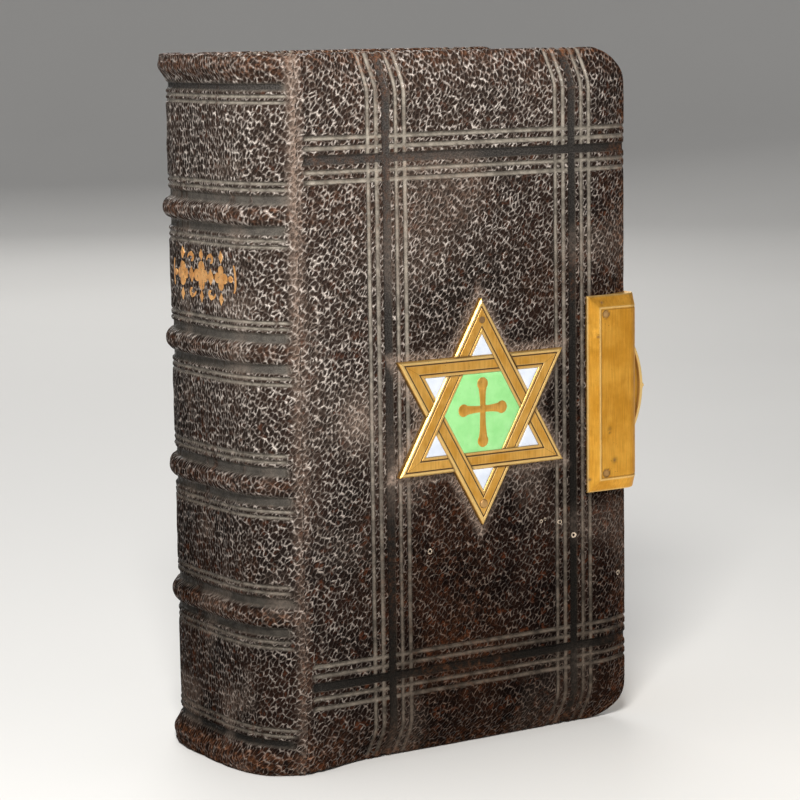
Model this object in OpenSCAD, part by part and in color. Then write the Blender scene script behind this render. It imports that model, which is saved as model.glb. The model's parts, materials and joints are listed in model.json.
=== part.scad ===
// Small leather-bound Bible with raised bands, an enamelled brass star and a brass fore-edge clasp.
// Millimetres. The book stands on its tail: +Z is up, the front cover faces -Y, the spine is at -X
// and the fore-edge at +X. The origin is the middle of the footprint, on the surface it stands on.

/* [Book] */
// Height of the covers, tail to head
book_h = 127; // [112:1:145]
// Width of one cover, from the joint to the fore-edge
cover_w = 72; // [64:1:84]
// Thickness of the closed book over both covers
book_t = 44; // [40:1:52]
// Thickness of one board with its leather
cover_t = 5.2; // [4.8:0.2:5.6]
// Thickness of the covering leather
leather_t = 1; // [0.8:0.1:1.2]
// How far the covers stand out beyond the leaves
square = 2.6; // [2:0.1:4]
// Radius of the fore-edge corners of the covers
corner_r = 7; // [3:0.5:10]
// How far in from its edges a cover starts to slope down
cushion_w = 7.5; // [5:0.5:10]
// How deep the slope at the head and tail of a cover goes
cushion_d = 3.9; // [1.5:0.1:4]
// How deep the slope at the fore-edge of a cover goes
fore_d = 2.4; // [1.5:0.1:4]
// Softness of the turn from the face of a cover into its sloped edges
cushion_soft = 2.2; // [1:0.1:4]

/* [Spine] */
// How far the rounded back stands out behind the joints
bulge = 7.4; // [7:0.2:12]
// Height of a raised band over the panels
band_rise = 0.8; // [0.6:0.1:1.2]
// Width of a raised band along the spine
band_w = 3.4; // [2.6:0.2:5]
// How far the tail cap flares out
tail_flare = 1.3; // [1.2:0.1:2]
// How far the head cap flares out
head_flare = 1.3; // [0.2:0.1:1.5]

/* [Leaves] */
// How deep the fore-edge is hollowed
fore_hollow = 4; // [1:0.5:6]
// Thickness of a loose endpaper leaf
leaf_t = 0.25; // [0.2:0.01:0.26]

/* [Star] */
// Distance from the star's centre to its tips
star_r = 20.7; // [19:0.1:22]
// Thickness of the star plate
star_t = 1.2; // [1:0.1:1.3]
// Depth of the cells that hold the enamel
cell_d = 0.5; // [0.3:0.1:0.6]

/* [Clasp] */
// Height of the clasp's cover plates
plate_h = 36.8; // [32:0.2:42]
// Width of the clasp's plates on the covers
plate_w = 11; // [9:0.2:14]
// How far the plates stand proud of the covers
plate_proud = 1.5; // [1.5:0.1:2]
// Width of the bevel round a plate
plate_bevel = 2.3; // [1.5:0.1:3]
// Width of the strap over the fore-edge
strap_w = 24; // [20:0.5:28]
// Thickness of the strap
strap_t = 1.2; // [1:0.1:1.3]
// How far the thumb lift stands out from the strap
lift_out = 3.3; // [2:0.1:4]

/* [Hidden] */
$fn = 48;
eps = 0.01;

half_t = book_t / 2;
return_proud = 0.8;
strap_gap = 0.4;
strap_out = return_proud + strap_gap + strap_t;
lift_nib = 0.4;
total_x = bulge + tail_flare + cover_w + strap_out + lift_out + lift_nib;
joint_x = bulge + tail_flare - total_x / 2;
fore_x = joint_x + cover_w;
joint_gap = 0.15;

back_power = 3.8;
back_steps = 40;
cap_h = 4.6;
lining_t = 0.8;
band_places = [0.225, 0.409, 0.593, 0.782];
band_shoulder = 0.6;
headband_h = 1.6;

arc_steps = 10;
turn_in_w = 8;
turn_in_t = 0.5;

section_count = 10;
leaf_pitch = 0.42;
leaf_clear = 0.2;
front_leaf_count = 4;
back_leaf_count = 2;
inner_y = half_t - cover_t;
block_front_y = -inner_y + leaf_clear + front_leaf_count * leaf_pitch;
block_back_y = inner_y - leaf_clear - back_leaf_count * leaf_pitch;
block_x = fore_x - square;
shoulder_x = joint_x - 0.3;
leaf_x = joint_x + 0.3;

star_x = joint_x + 0.514 * cover_w;
star_z = 0.4886 * book_h;
enamel_drop = 0.05;
hexagon_r = 0.395 * star_r;
white_mid = 0.555 * star_r;
white_r = 0.127 * star_r;
star_pin_z = 0.81 * star_r;
pin_r = 0.55;
pin_head_r = 0.9;
pin_len = 3;

clasp_z = 0.496 * book_h;
plate_edge = 0.5;
plate_corner_r = 3;
return_extra = 1;
rivet_r = 0.6;
rivet_x = fore_x - 7.4;
rivet_z = 14.9;
knuckle_r = 1.3;
knuckle_x = fore_x + return_proud + 0.3 + knuckle_r;
knuckle_y = half_t - 2.2;
knuckle_half = strap_w / 4;
knuckle_gap = 0.1;
hinge_pin_r = 0.6;
hinge_bore_r = 0.68;
strap_end_y = -inner_y - 1;
strap_cut = 1.9;
lift_half = 10;
lift_t = 1;

// Outline of the rounded back for a swell b behind the joint and a half width w
function back_x(y, b, w) = joint_x - b * (1 - pow(abs(y) / w, back_power));
function back_curve(b, w) = [
    for (i = [0 : back_steps])
        let (y = -w + 2 * w * i / back_steps) [back_x(y, b, w), y]
];

// Drop of a bevelled edge at a distance s past the start of the slope, soft at first and then straight
function soft_slope(s) = sqrt(s * s + cushion_soft * cushion_soft) - cushion_soft;
// Points of a slope of a full depth, which ends at a distance inset before the edge of the cover
function cushion(inset, depth) = [
    for (i = [0 : arc_steps])
        let (s = (cushion_w - inset) * i / arc_steps) [s, depth * soft_slope(s) / soft_slope(cushion_w)]
];

// Lines between the folded sections, from the back to the fore-edge
block_b = bulge - leather_t - lining_t;
block_w = half_t - leather_t - lining_t;
function fan_y(i) = block_w * (2 * i / section_count - 1);
function body_y(i) = block_front_y + (block_back_y - block_front_y) * i / section_count;
function hollow_x(y) = let (m = (block_front_y + block_back_y) / 2, h = (block_back_y - block_front_y) / 2)
    block_x - fore_hollow * (1 - pow((y - m) / h, 2));
function is_end(i) = i == 0 || i == section_count;
edge_step = 2 * block_w / back_steps;
edge_drop = joint_x - back_x(block_w - edge_step, block_b, block_w);
edge_y = block_w - edge_step * (joint_x - shoulder_x) / edge_drop;
function back_point(y) = abs(y) > block_w - eps
    ? [shoulder_x, sign(y) * edge_y]
    : [back_x(y, block_b, block_w), y];
function fan_edge(i) = is_end(i) ? sign(fan_y(i)) * edge_y : fan_y(i);
function fan_x(i) = is_end(i) ? shoulder_x : joint_x - 3;
function settle_x(i) = is_end(i) ? shoulder_x : joint_x + 5;

module back_ring(b_out, w_out, b_in, w_in, height) {
    linear_extrude(height = height)
        intersection() {
            difference() {
                polygon(back_curve(b_out, w_out));
                polygon(back_curve(b_in, w_in));
            }
            translate([joint_x - joint_gap - 2 * bulge, -book_t])
                square([2 * bulge, 2 * book_t]);
        }
}

module section(i) {
    back = [for (k = [0 : 4]) back_point(fan_y(i) + (fan_y(i + 1) - fan_y(i)) * k / 4)];
    far = [for (k = [0 : 4]) let (y = body_y(i + 1) + (body_y(i) - body_y(i + 1)) * k / 4) [hollow_x(y), y]];
    upper = [[fan_x(i + 1), fan_edge(i + 1)], [settle_x(i + 1), body_y(i + 1)]];
    lower = [[settle_x(i), body_y(i)], [fan_x(i), fan_edge(i)]];
    color("wheat")
        translate([0, 0, square])
            linear_extrude(height = book_h - 2 * square)
                polygon(concat(back, upper, far, lower));
}

module spine_lining() {
    color("tan")
        translate([0, 0, square])
            back_ring(block_b + lining_t, block_w + lining_t, block_b, block_w, book_h - 2 * square);
}

module band_cords() {
    core_h = band_w - 2 * band_shoulder;
    b = bulge - leather_t;
    w = half_t - leather_t;
    color("burlywood")
        for (place = band_places)
            translate([0, 0, place * book_h - core_h / 2])
                back_ring(b + band_rise, w, b, w, core_h);
}

module end_band() {
    linear_extrude(height = headband_h)
        intersection() {
            difference() {
                polygon(back_curve(block_b, block_w));
                polygon(back_curve(block_b - headband_h, block_w - headband_h));
            }
            translate([joint_x - 2 * bulge, -block_w + headband_h])
                square([2 * bulge - 1, 2 * block_w - 2 * headband_h]);
        }
}

module headband() {
    color("firebrick")
        translate([0, 0, book_h - square])
            end_band();
}

module tailband() {
    color("firebrick")
        translate([0, 0, square - headband_h])
            end_band();
}

module band_shell(rise, height) {
    back_ring(bulge + rise, half_t, bulge - leather_t, half_t - leather_t, height);
}

module spine_leather() {
    color([0.16, 0.1, 0.07])
        difference() {
            union() {
                band_shell(0, book_h);
                band_shell(tail_flare, cap_h);
                translate([0, 0, book_h - cap_h])
                    band_shell(head_flare, cap_h);
                for (place = band_places) {
                    translate([0, 0, place * book_h - band_w / 2])
                        band_shell(band_rise / 2, band_w);
                    translate([0, 0, place * book_h - band_w / 2 + band_shoulder])
                        band_shell(band_rise, band_w - 2 * band_shoulder);
                }
            }
            band_cord_cuts();
        }
}

module band_cord_cuts() {
    core_h = band_w - 2 * band_shoulder;
    inner = half_t - leather_t;
    for (place = band_places)
        translate([0, 0, place * book_h - core_h / 2])
            linear_extrude(height = core_h)
                intersection() {
                    polygon(back_curve(bulge - leather_t + band_rise, inner));
                    translate([joint_x - joint_gap - 2 * bulge, -book_t])
                        square([2 * bulge, 2 * book_t]);
                }
}

// Cross-section of a front cover across its width, inset all round by the leather
module cover_plan(inset, inner_inset) {
    edge = [for (p = cushion(inset, fore_d)) [fore_x - cushion_w + p[0], -half_t + inset + p[1]]];
    inner = -half_t + cover_t - inner_inset;
    polygon(concat(
        [[joint_x + joint_gap, inner], [joint_x + joint_gap, -half_t + inset]],
        edge,
        [[fore_x - inset, inner]]
    ));
}

// Cross-section of a front cover along its height, drawn with the height as the first axis
module cover_side(inset, inner_inset) {
    slope = cushion(inset, cushion_d);
    n = arc_steps;
    tail = [for (i = [n : -1 : 0]) [cushion_w - slope[i][0], -half_t + inset + slope[i][1]]];
    head = [for (p = slope) [book_h - cushion_w + p[0], -half_t + inset + p[1]]];
    inner = -half_t + cover_t - inner_inset;
    polygon(concat([[inset, inner]], tail, head, [[book_h - inset, inner]]));
}

// Face of a cover, with its rounded fore-edge corners
module cover_face(inset) {
    r = corner_r - inset;
    x = fore_x - inset - r;
    lower = [for (i = [0 : arc_steps]) let (a = -90 + 90 * i / arc_steps)
        [x + r * cos(a), inset + r + r * sin(a)]];
    upper = [for (i = [0 : arc_steps]) let (a = 90 * i / arc_steps)
        [x + r * cos(a), book_h - inset - r + r * sin(a)]];
    polygon(concat([[joint_x + joint_gap, inset]], lower, upper, [[joint_x + joint_gap, book_h - inset]]));
}

module cover_solid(inset, inner_inset) {
    intersection() {
        linear_extrude(height = book_h)
            cover_plan(inset, inner_inset);
        translate([joint_x, 0, 0])
            rotate([90, 0, 90])
                linear_extrude(height = cover_w)
                    mirror([1, 0, 0])
                        rotate(90)
                            cover_side(inset, inner_inset);
        translate([0, -inner_y + eps, 0])
            rotate([90, 0, 0])
                linear_extrude(height = cover_t + 2 * eps)
                    cover_face(inset);
    }
}

module pastedown_box() {
    x = joint_x + joint_gap;
    translate([x, -inner_y - turn_in_t, turn_in_w])
        cube([fore_x - turn_in_w - x, turn_in_t, book_h - 2 * turn_in_w]);
}

module star_pin_shafts(length) {
    for (side = [-1, 1])
        translate([star_x, -half_t + length, star_z + side * star_pin_z])
            rotate([90, 0, 0])
                cylinder(r = pin_r, h = length + star_t);
}

module rivet_shafts() {
    for (side = [-1, 1])
        translate([rivet_x, -half_t + pin_len, clasp_z + side * rivet_z])
            rotate([90, 0, 0])
                cylinder(r = rivet_r, h = pin_len + plate_proud);
}

module board_shape() {
    difference() {
        cover_solid(leather_t, turn_in_t);
        rivet_shafts();
    }
}

module leather_shape() {
    difference() {
        cover_solid(0, 0);
        cover_solid(leather_t, turn_in_t);
        pastedown_box();
        rivet_shafts();
    }
}

module front_board() {
    color("peru")
        difference() {
            board_shape();
            star_pin_shafts(pin_len);
        }
}

module front_cover_leather() {
    color([0.16, 0.1, 0.07])
        difference() {
            leather_shape();
            star_pin_shafts(pin_len);
        }
}

module front_pastedown() {
    color("antiquewhite")
        pastedown_box();
}

module back_board() {
    color("peru")
        mirror([0, 1, 0])
            board_shape();
}

module back_cover_leather() {
    color([0.16, 0.1, 0.07])
        mirror([0, 1, 0])
            leather_shape();
}

module back_pastedown() {
    color("antiquewhite")
        mirror([0, 1, 0])
            pastedown_box();
}

// Loose leaf number k counted inwards from a front cover
module leaf(k) {
    y = -inner_y + leaf_clear + k * leaf_pitch;
    color("ivory")
        translate([leaf_x, y, square])
            cube([block_x - leaf_x, leaf_t, book_h - 2 * square]);
}

module star_outline(r) {
    for (turn = [90, -90])
        polygon([for (k = [0 : 2]) r * [cos(turn + 120 * k), sin(turn + 120 * k)]]);
}

module white_cells() {
    for (k = [0 : 5])
        rotate(30 + 60 * k)
            translate([white_mid, 0])
                polygon([for (j = [0 : 2]) white_r * [cos(120 * j), sin(120 * j)]]);
}

// Generic cross with knobbed ends, left standing in the green cell
module device_outline() {
    bar = 0.055 * star_r;
    reach = 0.25 * star_r;
    arm = 0.2 * star_r;
    knob = 0.055 * star_r;
    cross_z = 0.03 * star_r;
    translate([-bar / 2, -reach])
        square([bar, 2 * reach]);
    translate([-arm, cross_z - bar / 2])
        square([2 * arm, bar]);
    for (end = [[0, reach], [0, -reach], [arm, cross_z], [-arm, cross_z]])
        translate(end)
            circle(r = knob);
}

module green_cell() {
    difference() {
        polygon([for (k = [0 : 5]) hexagon_r * [cos(60 * k), sin(60 * k)]]);
        device_outline();
    }
}

// Stands a flat outline on the front cover, from a depth below the plate's face
module on_cover(depth, thickness) {
    translate([star_x, -half_t - star_t + depth, star_z])
        rotate([90, 0, 0])
            linear_extrude(height = thickness)
                children();
}

module star_plate() {
    color("goldenrod")
        difference() {
            on_cover(star_t, star_t)
                star_outline(star_r);
            on_cover(cell_d, cell_d + eps)
                union() {
                    green_cell();
                    white_cells();
                }
            star_pin_shafts(pin_len);
        }
}

module star_green_enamel() {
    color("palegreen")
        on_cover(cell_d, cell_d - enamel_drop)
            green_cell();
}

module star_white_enamel() {
    color("aliceblue")
        on_cover(cell_d, cell_d - enamel_drop)
            white_cells();
}

module star_pins() {
    color("gold")
        union() {
            star_pin_shafts(pin_len);
            for (side = [-1, 1])
                translate([star_x, -half_t - star_t, star_z + side * star_pin_z])
                    rotate([90, 0, 0])
                        cylinder(r = pin_head_r, h = plate_proud - star_t);
        }
}

// Plate on a front cover that turns over the fore-edge, before its holes
module plate_blank() {
    left = fore_x - plate_w;
    face = -half_t - plate_proud;
    right = fore_x + return_proud;
    r = plate_corner_r;
    inner = -inner_y + return_extra;
    bend = [for (i = [0 : arc_steps]) let (a = -90 + 90 * i / arc_steps)
        [right - r + r * cos(a), face + r + r * sin(a)]];
    low = clasp_z - plate_h / 2;
    high = clasp_z + plate_h / 2;
    difference() {
        intersection() {
            translate([0, 0, low])
                linear_extrude(height = plate_h)
                    polygon(concat(
                        [[left, -half_t + eps], [left, -half_t - plate_edge], [left + plate_bevel, face]],
                        bend,
                        [[right, inner], [fore_x, inner], [fore_x, -inner_y - eps]],
                        [[fore_x - 1, -inner_y - eps], [fore_x - 1, -half_t + fore_d + eps]]
                    ));
            translate([left - 1, 0, 0])
                rotate([90, 0, 90])
                    linear_extrude(height = plate_w + 4)
                        polygon([
                            [face, low + plate_bevel], [-half_t - plate_edge, low], [inner + 1, low],
                            [inner + 1, high], [-half_t - plate_edge, high], [face, high - plate_bevel]
                        ]);
        }
        translate([0, 0, low - 1])
            linear_extrude(height = plate_h + 2)
                cover_plan(0, 0);
    }
}

module clasp_front_plate() {
    color("goldenrod")
        difference() {
            plate_blank();
            rivet_shafts();
        }
}

module clasp_front_rivets() {
    color("darkgoldenrod")
        rivet_shafts();
}

module clasp_back_plate() {
    color("goldenrod")
        difference() {
            union() {
                mirror([0, 1, 0])
                    plate_blank();
                for (side = [-1, 1])
                    translate([0, 0, clasp_z + side * (strap_w / 2 + knuckle_half + knuckle_gap) / 2])
                        back_knuckle();
            }
            mirror([0, 1, 0])
                rivet_shafts();
            translate([knuckle_x, knuckle_y, clasp_z - strap_w])
                cylinder(r = hinge_pin_r, h = 2 * strap_w);
        }
}

module back_knuckle() {
    length = strap_w / 2 - knuckle_half - knuckle_gap;
    web = 1.6;
    translate([knuckle_x, knuckle_y, -length / 2])
        cylinder(r = knuckle_r, h = length);
    translate([fore_x + return_proud - 0.3, knuckle_y - web / 2, -length / 2])
        cube([knuckle_x - fore_x - return_proud + 0.3, web, length]);
}

module clasp_back_rivets() {
    color("darkgoldenrod")
        mirror([0, 1, 0])
            rivet_shafts();
}

module clasp_hinge_pin() {
    head_h = 0.4;
    color("darkgoldenrod")
        translate([knuckle_x, knuckle_y, clasp_z - strap_w / 2])
            union() {
                cylinder(r = hinge_pin_r, h = strap_w);
                translate([0, 0, -head_h])
                    cylinder(r = 1, h = head_h);
                translate([0, 0, strap_w])
                    cylinder(r = 1, h = head_h);
            }
}

// Half-moon outline of the thumb lift, drawn with its chord on the strap and a small point at its crown
module lift_outline(shrink) {
    out = lift_out - shrink;
    half = lift_half - shrink;
    r = (half * half + out * out) / (2 * out);
    spread = asin(half / r);
    arc = [for (i = [-arc_steps : arc_steps]) let (a = spread * i / arc_steps)
        [out - r + r * cos(a), r * sin(a)]];
    nib = shrink > 0 ? [] : [[out, -0.5], [out + lift_nib, 0], [out, 0.5]];
    polygon(concat(
        [for (i = [0 : arc_steps - 1]) arc[i]],
        nib,
        [for (i = [arc_steps + 1 : 2 * arc_steps]) arc[i]]
    ));
}

module clasp_strap() {
    inner = fore_x + return_proud + strap_gap;
    outer = inner + strap_t;
    tongue = knuckle_half - knuckle_gap;
    color("goldenrod")
        difference() {
            union() {
                translate([inner, strap_end_y, clasp_z - strap_w / 2])
                    cube([strap_t, knuckle_y - strap_cut - strap_end_y, strap_w]);
                translate([inner, knuckle_y - strap_cut, clasp_z - tongue])
                    cube([strap_t, strap_cut, 2 * tongue]);
                translate([knuckle_x, knuckle_y, clasp_z - tongue])
                    cylinder(r = knuckle_r, h = 2 * tongue);
                translate([outer, strap_end_y + lift_t, clasp_z])
                    rotate([90, 0, 0])
                        linear_extrude(height = lift_t)
                            lift_outline(0);
            }
            translate([outer - eps, strap_end_y + 0.4, clasp_z])
                rotate([90, 0, 0])
                    linear_extrude(height = 1)
                        lift_outline(0.8);
            translate([knuckle_x, knuckle_y, clasp_z - strap_w])
                cylinder(r = hinge_bore_r, h = 2 * strap_w);
        }
}

section(0);  // section_01
section(1);  // section_02
section(2);  // section_03
section(3);  // section_04
section(4);  // section_05
section(5);  // section_06
section(6);  // section_07
section(7);  // section_08
section(8);  // section_09
section(9);  // section_10
spine_lining();
band_cords();
headband();
tailband();
spine_leather();
front_board();
front_cover_leather();
front_pastedown();
back_board();
back_cover_leather();
back_pastedown();
leaf(0);  // front_flyleaf
leaf(1);  // front_leaf_1
leaf(2);  // front_leaf_2
leaf(3);  // front_leaf_3
mirror([0, 1, 0]) leaf(0);  // back_flyleaf
mirror([0, 1, 0]) leaf(1);  // back_leaf_1
star_plate();
star_green_enamel();
star_white_enamel();
star_pins();
clasp_front_plate();
clasp_front_rivets();
clasp_back_plate();
clasp_back_rivets();
clasp_hinge_pin();
clasp_strap();
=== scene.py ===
import json
import math

import bmesh
import bpy
import numpy as np
from mathutils import Matrix, Vector


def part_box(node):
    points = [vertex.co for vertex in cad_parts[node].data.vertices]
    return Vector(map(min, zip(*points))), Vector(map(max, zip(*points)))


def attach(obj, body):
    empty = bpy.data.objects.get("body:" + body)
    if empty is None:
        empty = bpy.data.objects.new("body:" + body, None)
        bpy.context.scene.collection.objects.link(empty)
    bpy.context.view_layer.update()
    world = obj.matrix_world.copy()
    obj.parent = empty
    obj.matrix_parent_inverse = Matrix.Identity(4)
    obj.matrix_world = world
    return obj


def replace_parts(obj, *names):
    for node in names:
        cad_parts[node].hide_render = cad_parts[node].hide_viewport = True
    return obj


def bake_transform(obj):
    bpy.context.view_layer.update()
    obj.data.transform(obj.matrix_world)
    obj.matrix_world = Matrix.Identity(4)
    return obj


# Looks of a small clasped bible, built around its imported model. Shapes are worked out in
# millimetres in the model's frame: the book stands on its tail, front cover facing -Y, spine at -X.
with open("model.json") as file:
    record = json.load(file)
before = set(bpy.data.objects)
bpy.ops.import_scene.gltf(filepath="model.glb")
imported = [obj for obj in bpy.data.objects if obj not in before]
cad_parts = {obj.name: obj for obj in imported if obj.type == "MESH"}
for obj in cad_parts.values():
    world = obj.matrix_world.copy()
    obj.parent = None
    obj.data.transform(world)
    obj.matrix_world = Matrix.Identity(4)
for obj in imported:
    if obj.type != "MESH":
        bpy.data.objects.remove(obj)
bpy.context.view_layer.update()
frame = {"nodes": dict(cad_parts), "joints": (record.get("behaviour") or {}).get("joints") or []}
MM = 0.001


def mm_box(node):
    low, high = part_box(node)
    return np.array(low) / MM, np.array(high) / MM


# ---------------------------------------------------------------- sizes from the frame
HINGES = {j["name"]: np.array(j["pos_m"]) / MM for j in frame["joints"]}
joint_x = HINGES["front_cover_hinge"][0]
half_t = -HINGES["front_cover_hinge"][1]
cover_high = mm_box("front_cover_leather")[1]
fore_x = cover_high[0]
book_h = cover_high[2]
inner_y = -cover_high[1]
star_low, star_high = mm_box("star_plate")
plate_low, plate_high = mm_box("clasp_front_plate")
strap_low, strap_high = mm_box("clasp_strap")
square = mm_box("section_01")[0][2]
star_mid = (star_low + star_high) / 2
star_r = (star_high[2] - star_low[2]) / 2
star_x, star_z = star_mid[0], star_mid[2]
band_levels = sorted({round(v.co.z / MM, 2) for v in frame["nodes"]["band_cords"].data.vertices})
BANDS = [(a + b) / 2 for a, b in zip(band_levels[0::2], band_levels[1::2])]

# ---------------------------------------------------------------- sizes that the looks add
corner_r = 7.0          # fore-edge corners of the covers
cushion_w = 7.5         # width of the slope round a cover
cushion_d = 3.9         # depth of that slope at head and tail
fore_d = 2.4            # depth of that slope at the fore-edge
cushion_soft = 2.2      # softness of its start
bulge = 7.4             # swell of the rounded back
back_power = 3.8        # how square that rounding is
tail_flare = 1.3        # how far the cap at the tail stands out
head_flare = 1.3        # and the cap at the head
leather_t = 0.95        # thickness of the leather
crest_drop = 0.35       # rounding of the joint's crest
crest_share = 0.25      # share of the cover's slope that the crest keeps at head and tail
crest_run = 15          # how far from the joint that slope is whole again
hinge_soft = 2.2        # width over which leather bends at a joint
fillet_z = (15.8, book_h - 18.4)    # middles of the level groups of tooled lines
fillet_x = (-16.84, 23.39)          # and of the upright groups
group_half = 4.6        # half width of a whole group
fine_line = 0.45        # half width of a fine tooled line
wide_line = 0.88        # half width of a wide tooled line
line_places = (2.07, 3.77)          # the fine lines, from the middle of their group


def smooth(a, b, t):
    """0 before a, 1 after b, eased between."""
    t = np.clip((np.asarray(t, float) - a) / (b - a), 0, 1)
    return t * t * (3 - 2 * t)


def lumps(u, v, size, seed):
    """Smooth noise from -1 to 1, with lumps about size across."""
    table = np.random.RandomState(seed).uniform(-1, 1, (128, 128))
    a, b = np.asarray(u, float) / size, np.asarray(v, float) / size
    i, j = np.floor(a).astype(int), np.floor(b).astype(int)
    f, g = a - i, b - j
    f, g = f * f * (3 - 2 * f), g * g * (3 - 2 * g)
    low = table[i % 128, j % 128] * (1 - f) + table[(i + 1) % 128, j % 128] * f
    high = table[i % 128, (j + 1) % 128] * (1 - f) + table[(i + 1) % 128, (j + 1) % 128] * f
    return low * (1 - g) + high * g


def spaced(start, end, coarse, fine, zones):
    """Values from start to end, closer together inside the zones."""
    values = [start]
    while values[-1] < end - 1e-6:
        at = values[-1]
        step = fine if any(a - coarse <= at < b for a, b in zones) else coarse
        values.append(at + step if at + 1.5 * step < end else end)
    return np.array(values)


# ---------------------------------------------------------------- mesh helpers
def circle(steps):
    """Angles evenly round a full turn."""
    return np.linspace(0, 2 * math.pi, steps + 1)[:-1]


def make_piece(name, points, faces, material, attributes=None, face_slots=None, extra=()):
    """A mesh object from points in millimetres, with float or vector attributes on its points."""
    mesh = bpy.data.meshes.new(name)
    mesh.from_pydata((np.asarray(points, float) * MM).tolist(), [], faces)
    attributes = dict(attributes or {}, rest=np.asarray(points, float) * MM)
    for key, values in attributes.items():
        values = np.asarray(values, np.float32)
        kind = "FLOAT" if values.ndim == 1 else "FLOAT_VECTOR"
        layer = mesh.attributes.new(key, kind, "POINT")
        layer.data.foreach_set("value" if kind == "FLOAT" else "vector", values.ravel())
    mesh.materials.append(material)
    for other in extra:
        mesh.materials.append(other)
    mesh.polygons.foreach_set("use_smooth", [True] * len(mesh.polygons))
    if face_slots is not None:
        mesh.polygons.foreach_set("material_index", face_slots)
    mesh.validate()
    mesh.update()
    piece = bpy.data.objects.new(name, mesh)
    bpy.context.scene.collection.objects.link(piece)
    return piece


def sharp_by_angle(piece, degrees):
    """Smooth shading that breaks at edges sharper than the angle."""
    bpy.context.view_layer.objects.active = piece
    with bpy.context.temp_override(object=piece, active_object=piece, selected_editable_objects=[piece]):
        bpy.ops.object.shade_smooth_by_angle(angle=math.radians(degrees))
    return piece


def grid_faces(rows, columns, start=0, flip=False):
    """Quads over a grid of points stored row by row."""
    faces = []
    for r in range(rows - 1):
        for c in range(columns - 1):
            a = start + r * columns + c
            face = (a, a + 1, a + columns + 1, a + columns)
            faces.append(face[::-1] if flip else face)
    return faces


def ring_faces(lower, upper, closed=True, flip=False):
    """Quads between two loops of point numbers."""
    count = len(lower)
    faces = []
    for k in range(count if closed else count - 1):
        n = (k + 1) % count
        face = (lower[k], lower[n], upper[n], upper[k])
        faces.append(face[::-1] if flip else face)
    return faces


def grid_border(rows, columns, closed=True):
    """Numbers of the points round a grid. An open border leaves out the first column between its ends."""
    border = list(range(columns)) + [r * columns + columns - 1 for r in range(1, rows)]
    border += [(rows - 1) * columns + c for c in range(columns - 2, -1, -1)]
    if closed:
        border += [r * columns for r in range(rows - 2, 0, -1)]
    return border


class Build:
    """Collects the points and faces of several closed shapes for one piece."""

    def __init__(self):
        self.points = []
        self.faces = []
        self.slots = []
        self.marks = {"dirt_and_shade": [], "edge": []}

    def add(self, points, faces, dirt_and_shade=None, edge=None, slots=None):
        base = len(self.points)
        self.points.extend([tuple(p) for p in points])
        self.faces.extend([tuple(base + k for k in f) for f in faces])
        self.slots.extend(slots or [0] * len(faces))
        for key, values in (("dirt_and_shade", dirt_and_shade), ("edge", edge)):
            self.marks[key].extend([0.0] * len(points) if values is None else list(values))

    def loft(self, loops, dirt_and_shade=None, edge=None):
        """A closed solid through loops of equal length, with both ends capped."""
        count = len(loops[0])
        points = [p for loop in loops for p in loop]
        faces = []
        for r in range(len(loops) - 1):
            low = [r * count + k for k in range(count)]
            high = [(r + 1) * count + k for k in range(count)]
            faces += ring_faces(low, high)
        faces.append(tuple(range(count))[::-1])
        faces.append(tuple((len(loops) - 1) * count + k for k in range(count)))
        self.add(points, faces, dirt_and_shade, edge)

    def panel(self, outer, inner, dirt_and_shade=None, edge=None):
        """A closed plate: a fine grid of outer points over a plain back of two rows."""
        rows, columns = outer.shape[:2]
        points = np.concatenate([outer.reshape(-1, 3), inner.reshape(-1, 3)])
        back = rows * columns
        faces = grid_faces(rows, columns) + grid_faces(2, columns, back, flip=True)
        low, high = list(range(columns)), list(range((rows - 1) * columns, rows * columns))
        faces += ring_faces(low, [back + k for k in low], closed=False, flip=True)
        faces += ring_faces(high, [back + columns + k for k in low], closed=False)
        faces.append(tuple(r * columns for r in range(rows)) + (back + columns, back))
        far = columns - 1
        faces.append(tuple(r * columns + far for r in range(rows)) + (back + columns + far, back + far))
        pad = np.zeros(2 * columns)
        dirt_and_shade = None if dirt_and_shade is None else np.concatenate([dirt_and_shade.ravel(), pad])
        edge = None if edge is None else np.concatenate([edge.ravel(), pad])
        self.add(points, faces, dirt_and_shade, edge)

    def slab(self, front, rear):
        """A closed slab between two grids of points."""
        rows, columns = front.shape[:2]
        far = rows * columns
        faces = grid_faces(rows, columns) + grid_faces(rows, columns, far, flip=True)
        rim = grid_border(rows, columns)
        faces += ring_faces(rim, [far + k for k in rim], flip=True)
        self.add(np.concatenate([front.reshape(-1, 3), rear.reshape(-1, 3)]), faces)

    def finish(self, name, material, body, slot, nodes=(), extra=(), angle=30, **attributes):
        """Makes the piece, which rides on a body named by a string, else stays baked in place, and stands for
        the given nodes.
        """
        attributes.update(self.marks)
        piece = make_piece(name, self.points, self.faces, material, attributes, self.slots, extra)
        fix_normals(piece)
        sharp_by_angle(piece, angle)
        if isinstance(body, str):
            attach(piece, body)
        else:
            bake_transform(piece)
        if nodes:
            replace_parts(piece, *nodes)
        return piece


def fix_normals(piece):
    """Turns every closed shape's faces outwards."""
    work = bmesh.new()
    work.from_mesh(piece.data)
    bmesh.ops.recalc_face_normals(work, faces=work.faces)
    work.to_mesh(piece.data)
    work.free()
    piece.data.update()


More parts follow.
